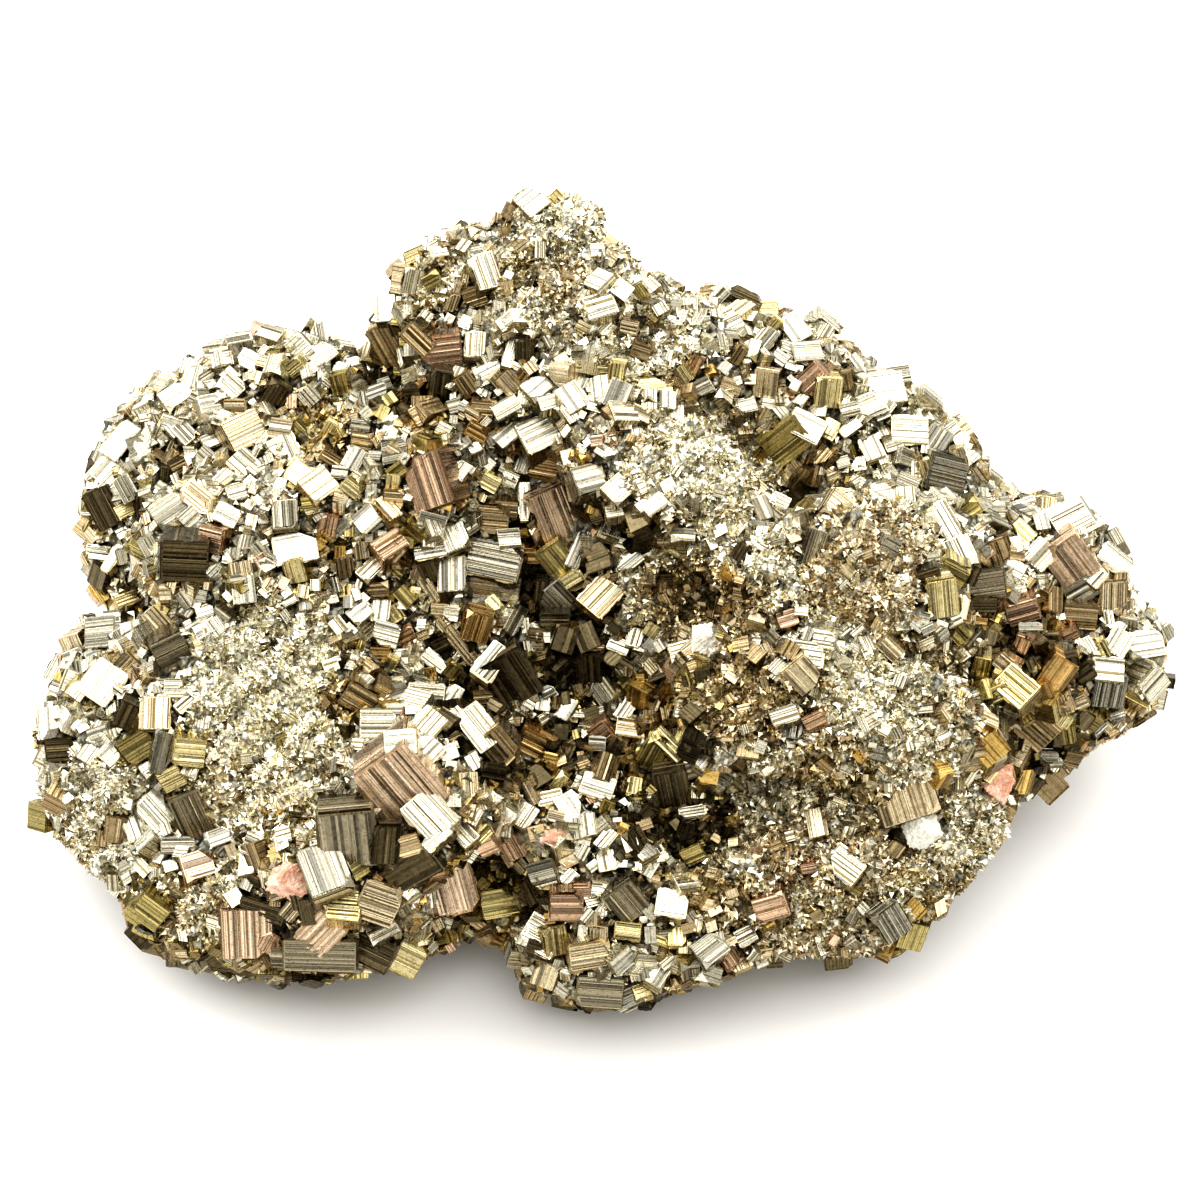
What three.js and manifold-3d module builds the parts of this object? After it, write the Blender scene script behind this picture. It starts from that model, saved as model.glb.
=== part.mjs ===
// A pyrite specimen: a low mound of intergrown striated cubes, 140 mm wide, broken flat underneath.
// A few small grains of pink carbonate and white quartz sit in pockets between the cubes.
// Units are millimetres, +Z is up, and the specimen rests on its flat underside at z = 0.
import * as THREE from 'three';
import { mergeVertices } from 'three/addons/utils/BufferGeometryUtils.js';
import { edgeTable, triTable } from 'three/addons/objects/MarchingCubes.js';
import Module from 'manifold-3d';

const wasm = await Module();
wasm.setup();

// The photograph's view: 1200 pixels square, looking down at 50 degrees, 8.157 pixels to a millimetre.
// Every lump and crystal below is placed by the pixel (u, v) where its middle shows in that view.
const VIEW_PIXELS = 1200;
const PIXELS_PER_MM = 8.157;
const VIEW_ELEVATION = THREE.MathUtils.degToRad(50);
const LENS_OVER_SENSOR = 100 / 36;
const VIEW_TARGET = new THREE.Vector3(-0.1, -1.4, 30);
const VIEW_DISTANCE = LENS_OVER_SENSOR * VIEW_PIXELS / PIXELS_PER_MM;

const RIGHT = new THREE.Vector3(1, 0, 0);
const UPWARD = new THREE.Vector3(0, Math.sin(VIEW_ELEVATION), Math.cos(VIEW_ELEVATION));
const TOWARD = new THREE.Vector3(0, -Math.cos(VIEW_ELEVATION), Math.sin(VIEW_ELEVATION));
const EYE = VIEW_TARGET.clone().addScaledVector(TOWARD, VIEW_DISTANCE);

// The mass under the crystals is a smooth union of rounded lumps.
// Each lump: pixel u, v, height of its middle above the base, then its radii along x, y and z.
const LUMP_BLEND = 5;
const LUMPS = [
  // upper left shoulder
  [197, 482, 24, 12.5, 14, 13],
  [140, 545, 18, 6, 11, 10],
  [262, 432, 33, 12, 12, 11],
  [325, 398, 37, 8, 8, 7],
  [270, 560, 33, 17, 12, 9],
  [360, 500, 37, 11, 11, 8],
  // summit ridge
  [441, 308, 47, 6.5, 7.5, 8],
  [490, 282, 50, 7, 7, 7],
  [560, 243, 55, 6, 5.5, 6.5],
  [572, 330, 50, 11, 10, 9],
  [520, 395, 44, 8, 9, 7],
  [450, 400, 41, 10, 11, 8],
  [420, 470, 40, 11, 10, 7],
  // right shoulder
  [655, 375, 46, 12, 11, 10],
  [752, 385, 42, 11.5, 11, 9],
  [830, 440, 38, 10.5, 11, 10],
  [905, 487, 33, 9, 10, 11],
  // bluff in the middle
  [620, 440, 47, 7, 9, 7],
  [690, 500, 47, 11, 7, 7],
  [790, 570, 43, 11, 10, 9],
  [880, 590, 39, 11, 12, 9],
  // far right
  [955, 575, 30, 8, 10, 11],
  [1040, 580, 24, 9.5, 10, 11],
  [1090, 668, 19, 7, 8, 9],
  [1120, 660, 20, 5, 6, 6],
  [1000, 710, 20, 11, 11, 11],
  // lower right slope
  [885, 725, 33, 12, 8, 7],
  [800, 690, 36, 9, 9, 7],
  [725, 700, 34, 10, 9, 8],
  [930, 790, 18, 11, 11, 10],
  [845, 860, 14, 13, 12, 11],
  [740, 865, 15, 11, 12, 10],
  [640, 920, 12, 12, 10, 9.5],
  [570, 930, 11, 7, 9, 8],
  [600, 830, 19, 10, 10, 8],
  // lower left slope
  [430, 790, 27, 10, 11, 8],
  [345, 850, 21, 12, 11, 11],
  [290, 710, 26, 15, 14, 8],
  [165, 725, 20, 13, 12, 10],
  [128, 790, 14, 11, 11, 9.5],
  [215, 880, 12, 11, 10, 10],
  [300, 905, 12, 12, 9, 9],
  [112, 670, 17, 6, 7, 7],
  [430, 890, 13, 8, 8, 7],
];

// Broad lumps inside and behind, which the view does not show: x, y, z of the middle, then radii.
const HIDDEN_LUMPS = [
  [-4, 0, 11, 50, 35, 17],
  [2, 8, 24, 38, 24, 17],
  [34, 4, 16, 28, 26, 17],
  [-34, 26, 12, 15, 12, 13],
  [-6, 36, 14, 17, 11, 15],
  [24, 33, 13, 15, 11, 14],
  [-12, 32, 34, 13, 9, 12],
];

// Hollows that are cut back out of the mass, given in the same way as the lumps.
const HOLLOWS = [
  [530, 560, 41, 5, 9, 8],
  [585, 650, 38, 8, 10, 7],
  [640, 720, 32, 6, 8, 6],
  [395, 385, 43, 4, 5, 5],
  [330, 545, 41, 3, 4, 4],
  [790, 490, 49, 4, 5, 5],
  [660, 590, 44, 10, 7, 5],
  [480, 905, 17, 5, 7, 5],
  [1030, 760, 21, 5, 5, 5],
];

// The largest crystals. Each one: pixel u, v of the middle of its front face, length along its
// growth lines, width across them, angle of the lines in the view (degrees, anticlockwise from the
// right), and the way its front face leans from the viewer (degrees, 90 up, 270 down).
const FACE_TILT = THREE.MathUtils.degToRad(22);
const CRYSTALS = [
  // upper left shoulder
  [103, 509, 5.0, 3.8, 113, 230],
  [120, 440, 5.2, 2.9, 57, 110],
  [170, 510, 4.3, 3.8, 38, 100],
  [197, 497, 3.7, 3.0, 140, 60],
  [185, 562, 5.6, 5.0, 176, 275],
  [245, 430, 4.8, 3.8, 28, 30],
  [175, 395, 3.6, 2.8, 38, 100],
  [105, 468, 3.6, 2.6, 50, 130],
  [319, 484, 3.8, 3.6, 40, 60],
  [285, 514, 3.6, 3.0, 95, 90],
  [295, 548, 5.0, 3.8, 12, 95],
  [390, 544, 3.8, 2.8, 38, 80],
  // summit ridge
  [441, 352, 5.0, 4.0, 8, 270],
  [486, 271, 4.6, 3.0, 105, 60],
  [389, 345, 5.2, 4.0, 115, 250],
  [388, 308, 3.6, 3.2, 95, 110],
  [440, 388, 4.0, 2.6, 80, 260],
  [573, 397, 3.6, 2.8, 120, 90],
  [600, 305, 3.6, 3.2, 20, 90],
  [427, 482, 6.4, 5.0, 108, 200],
  [540, 432, 4.8, 4.2, 28, 95],
  [547, 466, 5.2, 3.4, 168, 270],
  [557, 515, 6.4, 5.0, 115, 330],
  [493, 520, 3.8, 3.6, 175, 265],
  [525, 501, 4.8, 2.0, 90, 60],
  [452, 574, 4.4, 3.4, 95, 120],
  [494, 560, 6.4, 4.6, 165, 100],
  [589, 478, 3.6, 3.4, 20, 60],
  [600, 596, 4.4, 3.8, 50, 90],
  [558, 562, 4.2, 3.6, 125, 270],
  [558, 600, 3.8, 3.4, 130, 280],
  // right shoulder and rim
  [795, 328, 3.6, 2.8, 120, 80],
  [812, 381, 3.6, 3.2, 40, 200],
  [829, 393, 3.6, 3.2, 88, 300],
  [885, 388, 4.8, 4.2, 10, 85],
  [910, 430, 4.4, 3.6, 178, 80],
  [785, 443, 5.2, 4.2, 40, 235],
  [806, 426, 4.4, 3.4, 150, 80],
  [948, 474, 5.0, 4.6, 165, 330],
  [946, 520, 4.8, 2.8, 115, 60],
  [960, 552, 3.8, 3.4, 110, 90],
  [1040, 554, 3.6, 3.2, 50, 90],
  [1070, 563, 5.8, 5.0, 125, 270],
  [1115, 561, 4.2, 3.2, 140, 60],
  [1070, 517, 4.8, 4.0, 30, 90],
  [985, 585, 4.6, 3.8, 10, 270],
  [943, 599, 4.6, 3.4, 100, 300],
  [1080, 591, 3.8, 3.0, 35, 260],
  [1113, 598, 4.0, 3.6, 95, 320],
  [1080, 617, 4.2, 3.2, 175, 270],
  // far right point
  [1022, 611, 3.8, 3.2, 20, 260],
  [1109, 669, 3.6, 3.0, 175, 80],
  [1141, 679, 3.6, 3.4, 50, 100],
  [1110, 692, 4.0, 4.0, 85, 300],
  [1015, 686, 4.6, 3.8, 135, 110],
  [1057, 675, 4.2, 3.4, 60, 260],
  [1037, 727, 5.0, 4.8, 135, 265],
  [1145, 644, 4.4, 3.6, 10, 90],
  // lower left slope
  [100, 632, 4.0, 3.8, 2, 150],
  [172, 652, 4.2, 3.8, 25, 300],
  [103, 682, 4.8, 4.4, 58, 110],
  [155, 713, 4.0, 3.6, 90, 85],
  [138, 748, 4.0, 3.4, 35, 265],
  [165, 754, 5.0, 2.4, 78, 330],
  [190, 753, 3.6, 3.4, 170, 300],
  [52, 722, 4.0, 3.6, 100, 130],
  [195, 820, 6.4, 4.0, 113, 300],
  [156, 810, 4.6, 3.6, 130, 80],
  [198, 864, 3.6, 3.2, 20, 80],
  [247, 934, 6.4, 6.0, 90, 270],
  [320, 956, 8.4, 4.0, 178, 270],
  [150, 912, 3.8, 3.6, 140, 250],
  [378, 724, 4.2, 3.8, 0, 90],
  [400, 742, 3.6, 3.0, 5, 95],
  [425, 751, 3.8, 3.4, 50, 80],
  [361, 701, 4.4, 3.4, 145, 270],
  [426, 696, 4.4, 3.2, 175, 85],
  [479, 727, 5.4, 3.6, 125, 70],
  [498, 746, 4.0, 3.6, 125, 270],
  [477, 628, 3.6, 3.2, 75, 280],
  [512, 680, 6.2, 5.2, 120, 280],
  [492, 661, 4.8, 2.8, 55, 90],
  [401, 788, 8.4, 7.4, 125, 270],
  [430, 814, 5.4, 4.4, 130, 85],
  [348, 840, 7.0, 6.4, 95, 275],
  [387, 845, 4.6, 3.2, 88, 320],
  [325, 868, 5.8, 5.0, 110, 90],
  [379, 904, 4.8, 4.8, 155, 300],
  [412, 871, 6.4, 3.4, 35, 255],
  [448, 888, 7.2, 6.6, 104, 285],
  [372, 952, 4.8, 4.2, 155, 240],
  [404, 956, 5.0, 4.2, 150, 320],
  [321, 934, 5.0, 4.2, 50, 260],
  [344, 905, 3.8, 3.6, 175, 85],
  [500, 903, 4.4, 3.8, 10, 280],
  // lower right slope
  [533, 745, 3.6, 3.4, 150, 265],
  [660, 757, 4.6, 4.2, 65, 260],
  [598, 786, 3.8, 2.8, 160, 90],
  [672, 790, 4.6, 4.0, 100, 265],
  [542, 935, 4.6, 4.2, 148, 100],
  [628, 903, 4.2, 4.0, 125, 260],
  [672, 903, 3.6, 3.2, 170, 90],
  [567, 907, 3.8, 3.4, 0, 270],
  [590, 955, 4.8, 3.4, 5, 300],
  [600, 993, 5.4, 4.0, 175, 270],
  [710, 948, 3.6, 3.2, 40, 80],
  [807, 654, 3.6, 3.0, 170, 90],
  [803, 676, 3.8, 3.4, 130, 280],
  [845, 866, 4.0, 3.2, 140, 90],
  [770, 908, 3.8, 3.2, 20, 265],
  [893, 923, 4.0, 3.6, 125, 330],
];

// Crystals on the hidden back and sides, spread evenly by a golden-angle loop.
const BACK_CRYSTALS = 62;
const BACK_CENTRE = new THREE.Vector3(0, 6, 10);
const BACK_REACH = 120;
const BACK_SMALLEST = 3.2;
const BACK_LARGEST = 7.0;

// Grains of other minerals: pixel u, v, size of the grain across.
const SEAT_GAP = 0.3;
const PINK_CARBONATE = [
  [998, 783, 4.6],
  [289, 885, 4.4],
  [553, 839, 2.6],
];
const WHITE_QUARTZ = [
  [921, 828, 4.4],
  [707, 639, 3.6],
];

const GRID_STEP = 4.8;
const GRID_LOW = new THREE.Vector3(-79, -57, -6.5);
const GRID_CELLS = [33, 24, 16];
const BASE_BLOCK = 200;

// A repeatable number from 0 to 1 for whole numbers i and k.
function scatter(i, k) {
  const s = Math.sin(i * 12.9898 + k * 78.233) * 43758.5453;
  return s - Math.floor(s);
}

// Unit direction from the eye through a pixel of the view.
function viewRay(u, v) {
  const across = (u - VIEW_PIXELS / 2) / VIEW_PIXELS / LENS_OVER_SENSOR;
  const above = (VIEW_PIXELS / 2 - v) / VIEW_PIXELS / LENS_OVER_SENSOR;
  const ray = TOWARD.clone().negate();
  ray.addScaledVector(RIGHT, across);
  ray.addScaledVector(UPWARD, above);
  return ray.normalize();
}

// The point at a given height that shows at a pixel of the view.
function pointAtHeight(u, v, height) {
  const ray = viewRay(u, v);
  return EYE.clone().addScaledVector(ray, (height - EYE.z) / ray.z);
}

function placedLump([u, v, height, rx, ry, rz]) {
  return { middle: pointAtHeight(u, v, height), radii: new THREE.Vector3(rx, ry, rz) };
}

function hiddenLump([x, y, z, rx, ry, rz]) {
  return { middle: new THREE.Vector3(x, y, z), radii: new THREE.Vector3(rx, ry, rz) };
}

const MASS_LUMPS = [...LUMPS.map(placedLump), ...HIDDEN_LUMPS.map(hiddenLump)];
const MASS_HOLLOWS = HOLLOWS.map(placedLump);

// Rough distance from a point to an ellipsoid, negative inside.
function lumpDistance(point, { middle, radii }) {
  const offset = point.clone().sub(middle);
  const near = offset.clone().divide(radii).length();
  const far = offset.divide(radii).divide(radii).length();
  return near * (near - 1) / Math.max(far, 1e-9);
}

function smoothMin(a, b) {
  const h = Math.max(LUMP_BLEND - Math.abs(a - b), 0) / LUMP_BLEND;
  return Math.min(a, b) - h * h * LUMP_BLEND / 4;
}

// Gentle uneven swell of the surface, two crossing wave patterns of 20 mm and 8 mm.
function swell({ x, y, z }) {
  const broad = Math.sin(0.31 * x + 1.9 * Math.sin(0.17 * z + 0.4))
    * Math.sin(0.29 * y + 1.3 * Math.sin(0.21 * x))
    * Math.sin(0.33 * z + 1.1 * Math.sin(0.19 * y + 1.0));
  const small = Math.sin(0.83 * x + 1.2 * Math.sin(0.5 * y))
    * Math.sin(0.77 * y + 1.4 * Math.sin(0.43 * z))
    * Math.sin(0.81 * z + 1.3 * Math.sin(0.47 * x));
  return 1.1 * broad + 0.35 * small;
}

// Distance from a point to the surface of the mass, negative inside. The flat base is not in it.
function massDistance(point) {
  let distance = Infinity;
  for (const lump of MASS_LUMPS) {
    const d = lumpDistance(point, lump);
    distance = distance === Infinity ? d : smoothMin(distance, d);
  }
  for (const hollow of MASS_HOLLOWS) {
    distance = -smoothMin(-distance, lumpDistance(point, hollow));
  }
  return distance - swell(point);
}

function massNormal(point) {
  const step = 0.3;
  const slope = ['x', 'y', 'z'].map((axis) => {
    const ahead = point.clone();
    const behind = point.clone();
    ahead[axis] += step;
    behind[axis] -= step;
    return massDistance(ahead) - massDistance(behind);
  });
  return new THREE.Vector3(...slope).normalize();
}

// Where a ray meets the mass, or the point of the surface that it passes closest to.
function surfacePoint(start, ray, reach) {
  let travelled = 0;
  let closest = { gap: Infinity, point: start.clone() };
  while (travelled < reach) {
    const point = start.clone().addScaledVector(ray, travelled);
    const gap = massDistance(point);
    if (gap < closest.gap) {
      closest = { gap, point };
    }
    if (gap < 0.03) {
      break;
    }
    travelled += Math.max(gap * 0.7, 0.05);
  }
  const { gap, point } = closest;
  return gap < 0.1 ? point : point.addScaledVector(massNormal(point), -gap);
}

function seenPoint(u, v) {
  const ray = viewRay(u, v);
  const start = EYE.clone().addScaledVector(ray, VIEW_DISTANCE - 110);
  return surfacePoint(start, ray, 220);
}

function solidFrom(geometry) {
  const bare = new THREE.BufferGeometry();
  bare.setAttribute('position', geometry.getAttribute('position').clone());
  if (geometry.index) {
    bare.setIndex(geometry.index.clone());
  }
  const merged = mergeVertices(bare, 1e-4);
  const vertProperties = new Float32Array(merged.getAttribute('position').array);
  const triVerts = new Uint32Array(merged.index.array);
  return new wasm.Manifold(new wasm.Mesh({ numProp: 3, vertProperties, triVerts }));
}

// The triangles of the largest closed shell of a solid. Tiny sealed voids and loose chips drop out.
function outerShell(mesh) {
  const leader = Array.from({ length: mesh.vertProperties.length / 3 }, (_, i) => i);
  const leaderOf = (vertex) => {
    let v = vertex;
    while (leader[v] !== v) {
      v = leader[v];
    }
    return v;
  };
  const corners = mesh.triVerts;
  for (let t = 0; t < corners.length; t += 3) {
    const first = leaderOf(corners[t]);
    leader[leaderOf(corners[t + 1])] = first;
    leader[leaderOf(corners[t + 2])] = first;
  }
  const shells = new Map();
  for (let t = 0; t < corners.length; t += 3) {
    const key = leaderOf(corners[t]);
    shells.set(key, [...(shells.get(key) ?? []), corners[t], corners[t + 1], corners[t + 2]]);
  }
  return [...shells.values()].reduce((best, shell) => (shell.length > best.length ? shell : best));
}

function geometryFrom(solid) {
  const mesh = solid.getMesh();
  const geometry = new THREE.BufferGeometry();
  geometry.setAttribute('position', new THREE.BufferAttribute(new Float32Array(mesh.vertProperties), 3));
  geometry.setIndex(outerShell(mesh));
  return geometry;
}

// The corner offsets of a grid cell and the pairs of corners that its edges join.
const CORNERS = [
  [0, 0, 0], [1, 0, 0], [1, 1, 0], [0, 1, 0],
  [0, 0, 1], [1, 0, 1], [1, 1, 1], [0, 1, 1],
];
const EDGES = [
  [0, 1], [1, 2], [3, 2], [0, 3],
  [4, 5], [5, 6], [7, 6], [4, 7],
  [0, 4], [1, 5], [2, 6], [3, 7],
];

// The mass as a faceted closed surface, found cell by cell over a grid.
function massSurface() {
  const [nx, ny, nz] = GRID_CELLS;
  const nodeNumber = (i, j, k) => (k * (ny + 1) + j) * (nx + 1) + i;
  const nodePoint = (i, j, k) => new THREE.Vector3(i, j, k).multiplyScalar(GRID_STEP).add(GRID_LOW);
  const values = new Float32Array((nx + 1) * (ny + 1) * (nz + 1));
  for (let k = 0; k <= nz; k += 1) {
    for (let j = 0; j <= ny; j += 1) {
      for (let i = 0; i <= nx; i += 1) {
        const onBorder = i === 0 || j === 0 || k === 0 || i === nx || j === ny || k === nz;
        values[nodeNumber(i, j, k)] = onBorder ? GRID_STEP : massDistance(nodePoint(i, j, k));
      }
    }
  }
  const positions = [];
  const indices = [];
  const shared = new Map();
  for (let k = 0; k < nz; k += 1) {
    for (let j = 0; j < ny; j += 1) {
      for (let i = 0; i < nx; i += 1) {
        const corners = CORNERS.map(([a, b, c]) => [i + a, j + b, k + c]);
        const numbers = corners.map(([a, b, c]) => nodeNumber(a, b, c));
        let pattern = 0;
        numbers.forEach((number, corner) => {
          pattern += values[number] < 0 ? 2 ** corner : 0;
        });
        const crossed = edgeTable[pattern];
        const made = EDGES.map(([a, b], edge) => {
          if (!(crossed & (1 << edge))) {
            return -1;
          }
          const key = `${Math.min(numbers[a], numbers[b])},${Math.max(numbers[a], numbers[b])}`;
          if (!shared.has(key)) {
            const share = values[numbers[a]] / (values[numbers[a]] - values[numbers[b]]);
            const kept = THREE.MathUtils.clamp(share, 0.15, 0.85);
            const point = nodePoint(...corners[a]).lerp(nodePoint(...corners[b]), kept);
            shared.set(key, positions.length / 3);
            positions.push(point.x, point.y, point.z);
          }
          return shared.get(key);
        });
        for (let t = pattern * 16; triTable[t] !== -1; t += 3) {
          indices.push(made[triTable[t]], made[triTable[t + 2]], made[triTable[t + 1]]);
        }
      }
    }
  }
  const geometry = new THREE.BufferGeometry();
  geometry.setAttribute('position', new THREE.BufferAttribute(new Float32Array(positions), 3));
  geometry.setIndex(indices);
  return geometry;
}

// A block along three square axes: long along the growth lines, wide across them, deep behind.
function crystalSolid(faceMiddle, lines, across, front, long, wide, deep) {
  const box = new THREE.BoxGeometry(long, wide, deep);
  const turn = new THREE.Matrix4().makeBasis(lines, across, front);
  const middle = faceMiddle.clone().addScaledVector(front, -deep / 2);
  box.applyMatrix4(turn.setPosition(middle));
  return solidFrom(box);
}

// A crystal set by hand where it shows in the view.
function seenCrystal([u, v, long, wide, lineAngle, leanAngle]) {
  const lean = THREE.MathUtils.degToRad(leanAngle);
  const line = THREE.MathUtils.degToRad(lineAngle);
  const front = TOWARD.clone().multiplyScalar(Math.cos(FACE_TILT));
  front.addScaledVector(RIGHT, Math.sin(FACE_TILT) * Math.cos(lean));
  front.addScaledVector(UPWARD, Math.sin(FACE_TILT) * Math.sin(lean));
  const lines = RIGHT.clone().multiplyScalar(Math.cos(line)).addScaledVector(UPWARD, Math.sin(line));
  lines.addScaledVector(front, -lines.dot(front)).normalize();
  const across = front.clone().cross(lines);
  const deep = (long + wide) / 2;
  const faceMiddle = seenPoint(u, v).addScaledVector(TOWARD, 0.3 + 0.22 * deep);
  return crystalSolid(faceMiddle, lines, across, front, long, wide, deep);
}

// A crystal on the back or a side, at the loop's next direction from the middle of the mass.
function backCrystal(i) {
  const golden = Math.PI * (3 - Math.sqrt(5));
  const share = (i + 0.5) / BACK_CRYSTALS;
  const turn = i * golden;
  const rise = 0.04 + 0.8 * share;
  const flat = Math.sqrt(1 - rise * rise);
  const outward = new THREE.Vector3(Math.cos(turn) * flat, Math.sin(turn) * flat, rise);
  const start = BACK_CENTRE.clone().addScaledVector(outward, BACK_REACH);
  const point = surfacePoint(start, outward.clone().negate(), BACK_REACH);
  const normal = massNormal(point);
  if (normal.dot(TOWARD) > 0.05 || point.z < 2) {
    return null;
  }
  const size = BACK_SMALLEST + (BACK_LARGEST - BACK_SMALLEST) * scatter(i, 1) ** 2;
  const wide = size * (0.75 + 0.25 * scatter(i, 2));
  const front = normal.clone();
  front.x += 0.7 * (scatter(i, 3) - 0.5);
  front.y += 0.7 * (scatter(i, 4) - 0.5);
  front.z += 0.7 * (scatter(i, 5) - 0.5);
  front.normalize();
  const lines = new THREE.Vector3(scatter(i, 6) - 0.5, scatter(i, 7) - 0.5, scatter(i, 8) - 0.5);
  lines.addScaledVector(front, -lines.dot(front)).normalize();
  const across = front.clone().cross(lines);
  const faceMiddle = point.addScaledVector(normal, 0.25 * size);
  return crystalSolid(faceMiddle, lines, across, front, size, wide, size);
}

// A grain of another mineral: two skewed blocks grown through each other.
function grainShape(size, seed, skew, growth) {
  const blocks = [0, 1].map((n) => {
    const edge = size * (0.78 - 0.12 * n) + 2 * growth;
    const box = new THREE.BoxGeometry(edge, edge * 0.86, edge * 0.8);
    const shear = new THREE.Matrix4().makeShear(skew, 0, 0, skew, 0, 0);
    box.applyMatrix4(shear);
    box.rotateX(2 * Math.PI * scatter(seed, 3 * n));
    box.rotateY(2 * Math.PI * scatter(seed, 3 * n + 1));
    box.translate(
      0.3 * size * (scatter(seed, 20 + n) - 0.5),
      0.3 * size * (scatter(seed, 30 + n) - 0.5),
      0.2 * size * (scatter(seed, 40 + n) - 0.5),
    );
    return solidFrom(box);
  });
  return blocks.reduce((whole, block) => whole.add(block));
}

// The grain itself, and the same grain grown by the seating gap, which cuts its pocket.
function seatedGrain([u, v, size], seed, skew) {
  const middle = seenPoint(u, v).addScaledVector(TOWARD, 0.12 * size);
  const shift = [middle.x, middle.y, middle.z];
  return {
    grain: grainShape(size, seed, skew, 0).translate(shift),
    pocket: grainShape(size, seed, skew, SEAT_GAP * 1.2).translate(shift),
  };
}

function blockAbove(height) {
  const block = new THREE.BoxGeometry(BASE_BLOCK, BASE_BLOCK, BASE_BLOCK);
  block.translate(0, 0, height + BASE_BLOCK / 2);
  return solidFrom(block);
}

// The mass and every large crystal joined in one solid, then broken flat at the base.
function pyriteSolid() {
  const backs = Array.from({ length: BACK_CRYSTALS }, (_, i) => backCrystal(i)).filter(Boolean);
  const crystals = [...CRYSTALS.map(seenCrystal), ...backs];
  const whole = crystals.reduce((joined, crystal) => joined.add(crystal), solidFrom(massSurface()));
  return whole.intersect(blockAbove(0));
}

function finish(color, roughness, metalness) {
  return new THREE.MeshStandardMaterial({ color, roughness, metalness });
}

const PYRITE_FINISH = finish(0xb3a27c, 0.32, 1.0);
const CARBONATE_FINISH = finish(0xd99a7c, 0.7, 0.0);
const QUARTZ_FINISH = finish(0xdfdccb, 0.35, 0.0);

const carbonates = PINK_CARBONATE.map((row, i) => seatedGrain(row, 11 + i, 0.25));
const quartzes = WHITE_QUARTZ.map((row, i) => seatedGrain(row, 21 + i, 0));

const specimen = new THREE.Group();

function addPiece(name, solid, material) {
  const mesh = new THREE.Mesh(geometryFrom(solid), material);
  mesh.name = name;
  specimen.add(mesh);
}

const pockets = [...carbonates, ...quartzes].map(({ pocket }) => pocket);
const cluster = pockets.reduce((solid, pocket) => solid.subtract(pocket), pyriteSolid());
addPiece('pyrite_cluster', cluster, PYRITE_FINISH);
carbonates.forEach(({ grain }, i) => addPiece(`pink_carbonate_${i + 1}`, grain, CARBONATE_FINISH));
quartzes.forEach(({ grain }, i) => addPiece(`white_quartz_${i + 1}`, grain, QUARTZ_FINISH));

// The origin is the middle of the base, so the finished specimen is centred over it.
const middle = new THREE.Box3().setFromObject(specimen).getCenter(new THREE.Vector3());
specimen.children.forEach((piece) => piece.geometry.translate(-middle.x, -middle.y, 0));

export default specimen;
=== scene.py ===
import functools
import itertools
import math

import bpy
import numpy as np
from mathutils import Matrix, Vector
from mathutils.bvhtree import BVHTree
from mathutils.kdtree import KDTree


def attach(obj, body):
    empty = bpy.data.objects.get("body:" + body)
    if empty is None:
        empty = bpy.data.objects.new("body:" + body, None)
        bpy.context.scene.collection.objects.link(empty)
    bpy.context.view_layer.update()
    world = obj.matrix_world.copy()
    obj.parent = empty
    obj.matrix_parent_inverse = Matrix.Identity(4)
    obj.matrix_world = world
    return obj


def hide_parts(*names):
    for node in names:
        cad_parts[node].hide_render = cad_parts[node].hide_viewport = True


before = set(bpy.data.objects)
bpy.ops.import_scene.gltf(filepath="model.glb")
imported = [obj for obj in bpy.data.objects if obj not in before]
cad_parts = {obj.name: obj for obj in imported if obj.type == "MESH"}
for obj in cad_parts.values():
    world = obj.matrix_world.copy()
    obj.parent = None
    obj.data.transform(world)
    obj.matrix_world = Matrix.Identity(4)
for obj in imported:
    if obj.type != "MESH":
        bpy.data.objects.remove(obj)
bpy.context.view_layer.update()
MM = 0.001
SEED = 29
RNG = np.random.default_rng(SEED)

# The photograph's view: its size in pixels, its scale and how steeply it looks down.
VIEW_PIXELS = 1200
PIXELS_PER_MM = 8.157
VIEW_ELEVATION = math.radians(50)
LENS = 100.0
SENSOR = 36.0
VIEW_TARGET = np.array([-0.78, -1.485, 30.0])
VIEW_DISTANCE = LENS / SENSOR * VIEW_PIXELS / PIXELS_PER_MM
RIGHT = np.array([1.0, 0.0, 0.0])
UPWARD = np.array([0.0, math.sin(VIEW_ELEVATION), math.cos(VIEW_ELEVATION)])
TOWARD = np.array([0.0, -math.cos(VIEW_ELEVATION), math.sin(VIEW_ELEVATION)])
EYE = VIEW_TARGET + TOWARD * VIEW_DISTANCE

# How far a normal turns to the eye, from 1 to -1, where a surface is seen and where it is well hidden.
SEEN = 0.05
HIDDEN = -0.3

# How light each kind of pyrite face is, as linear colour. Tarnish makes some of the warm and dark ones,
# and the dark and black ones also serve as painted shade in hollows and under ledges.
TONES = {
    "pale": (0.92, 0.90, 0.75),
    "silver": (0.48, 0.46, 0.37),
    "grey": (0.40, 0.39, 0.33),
    "slate": (0.34, 0.30, 0.21),
    "tan": (0.88, 0.76, 0.52),
    "gold": (0.98, 0.87, 0.48),
    "amber": (0.82, 0.58, 0.20),
    "olive": (0.52, 0.44, 0.19),
    "copper": (0.66, 0.45, 0.19),
    "rose": (0.68, 0.48, 0.33),
    "blush": (0.86, 0.67, 0.49),
    "brown": (0.48, 0.375, 0.215),
    "dark": (0.13, 0.105, 0.058),
    "black": (0.04, 0.032, 0.016),
}
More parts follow.
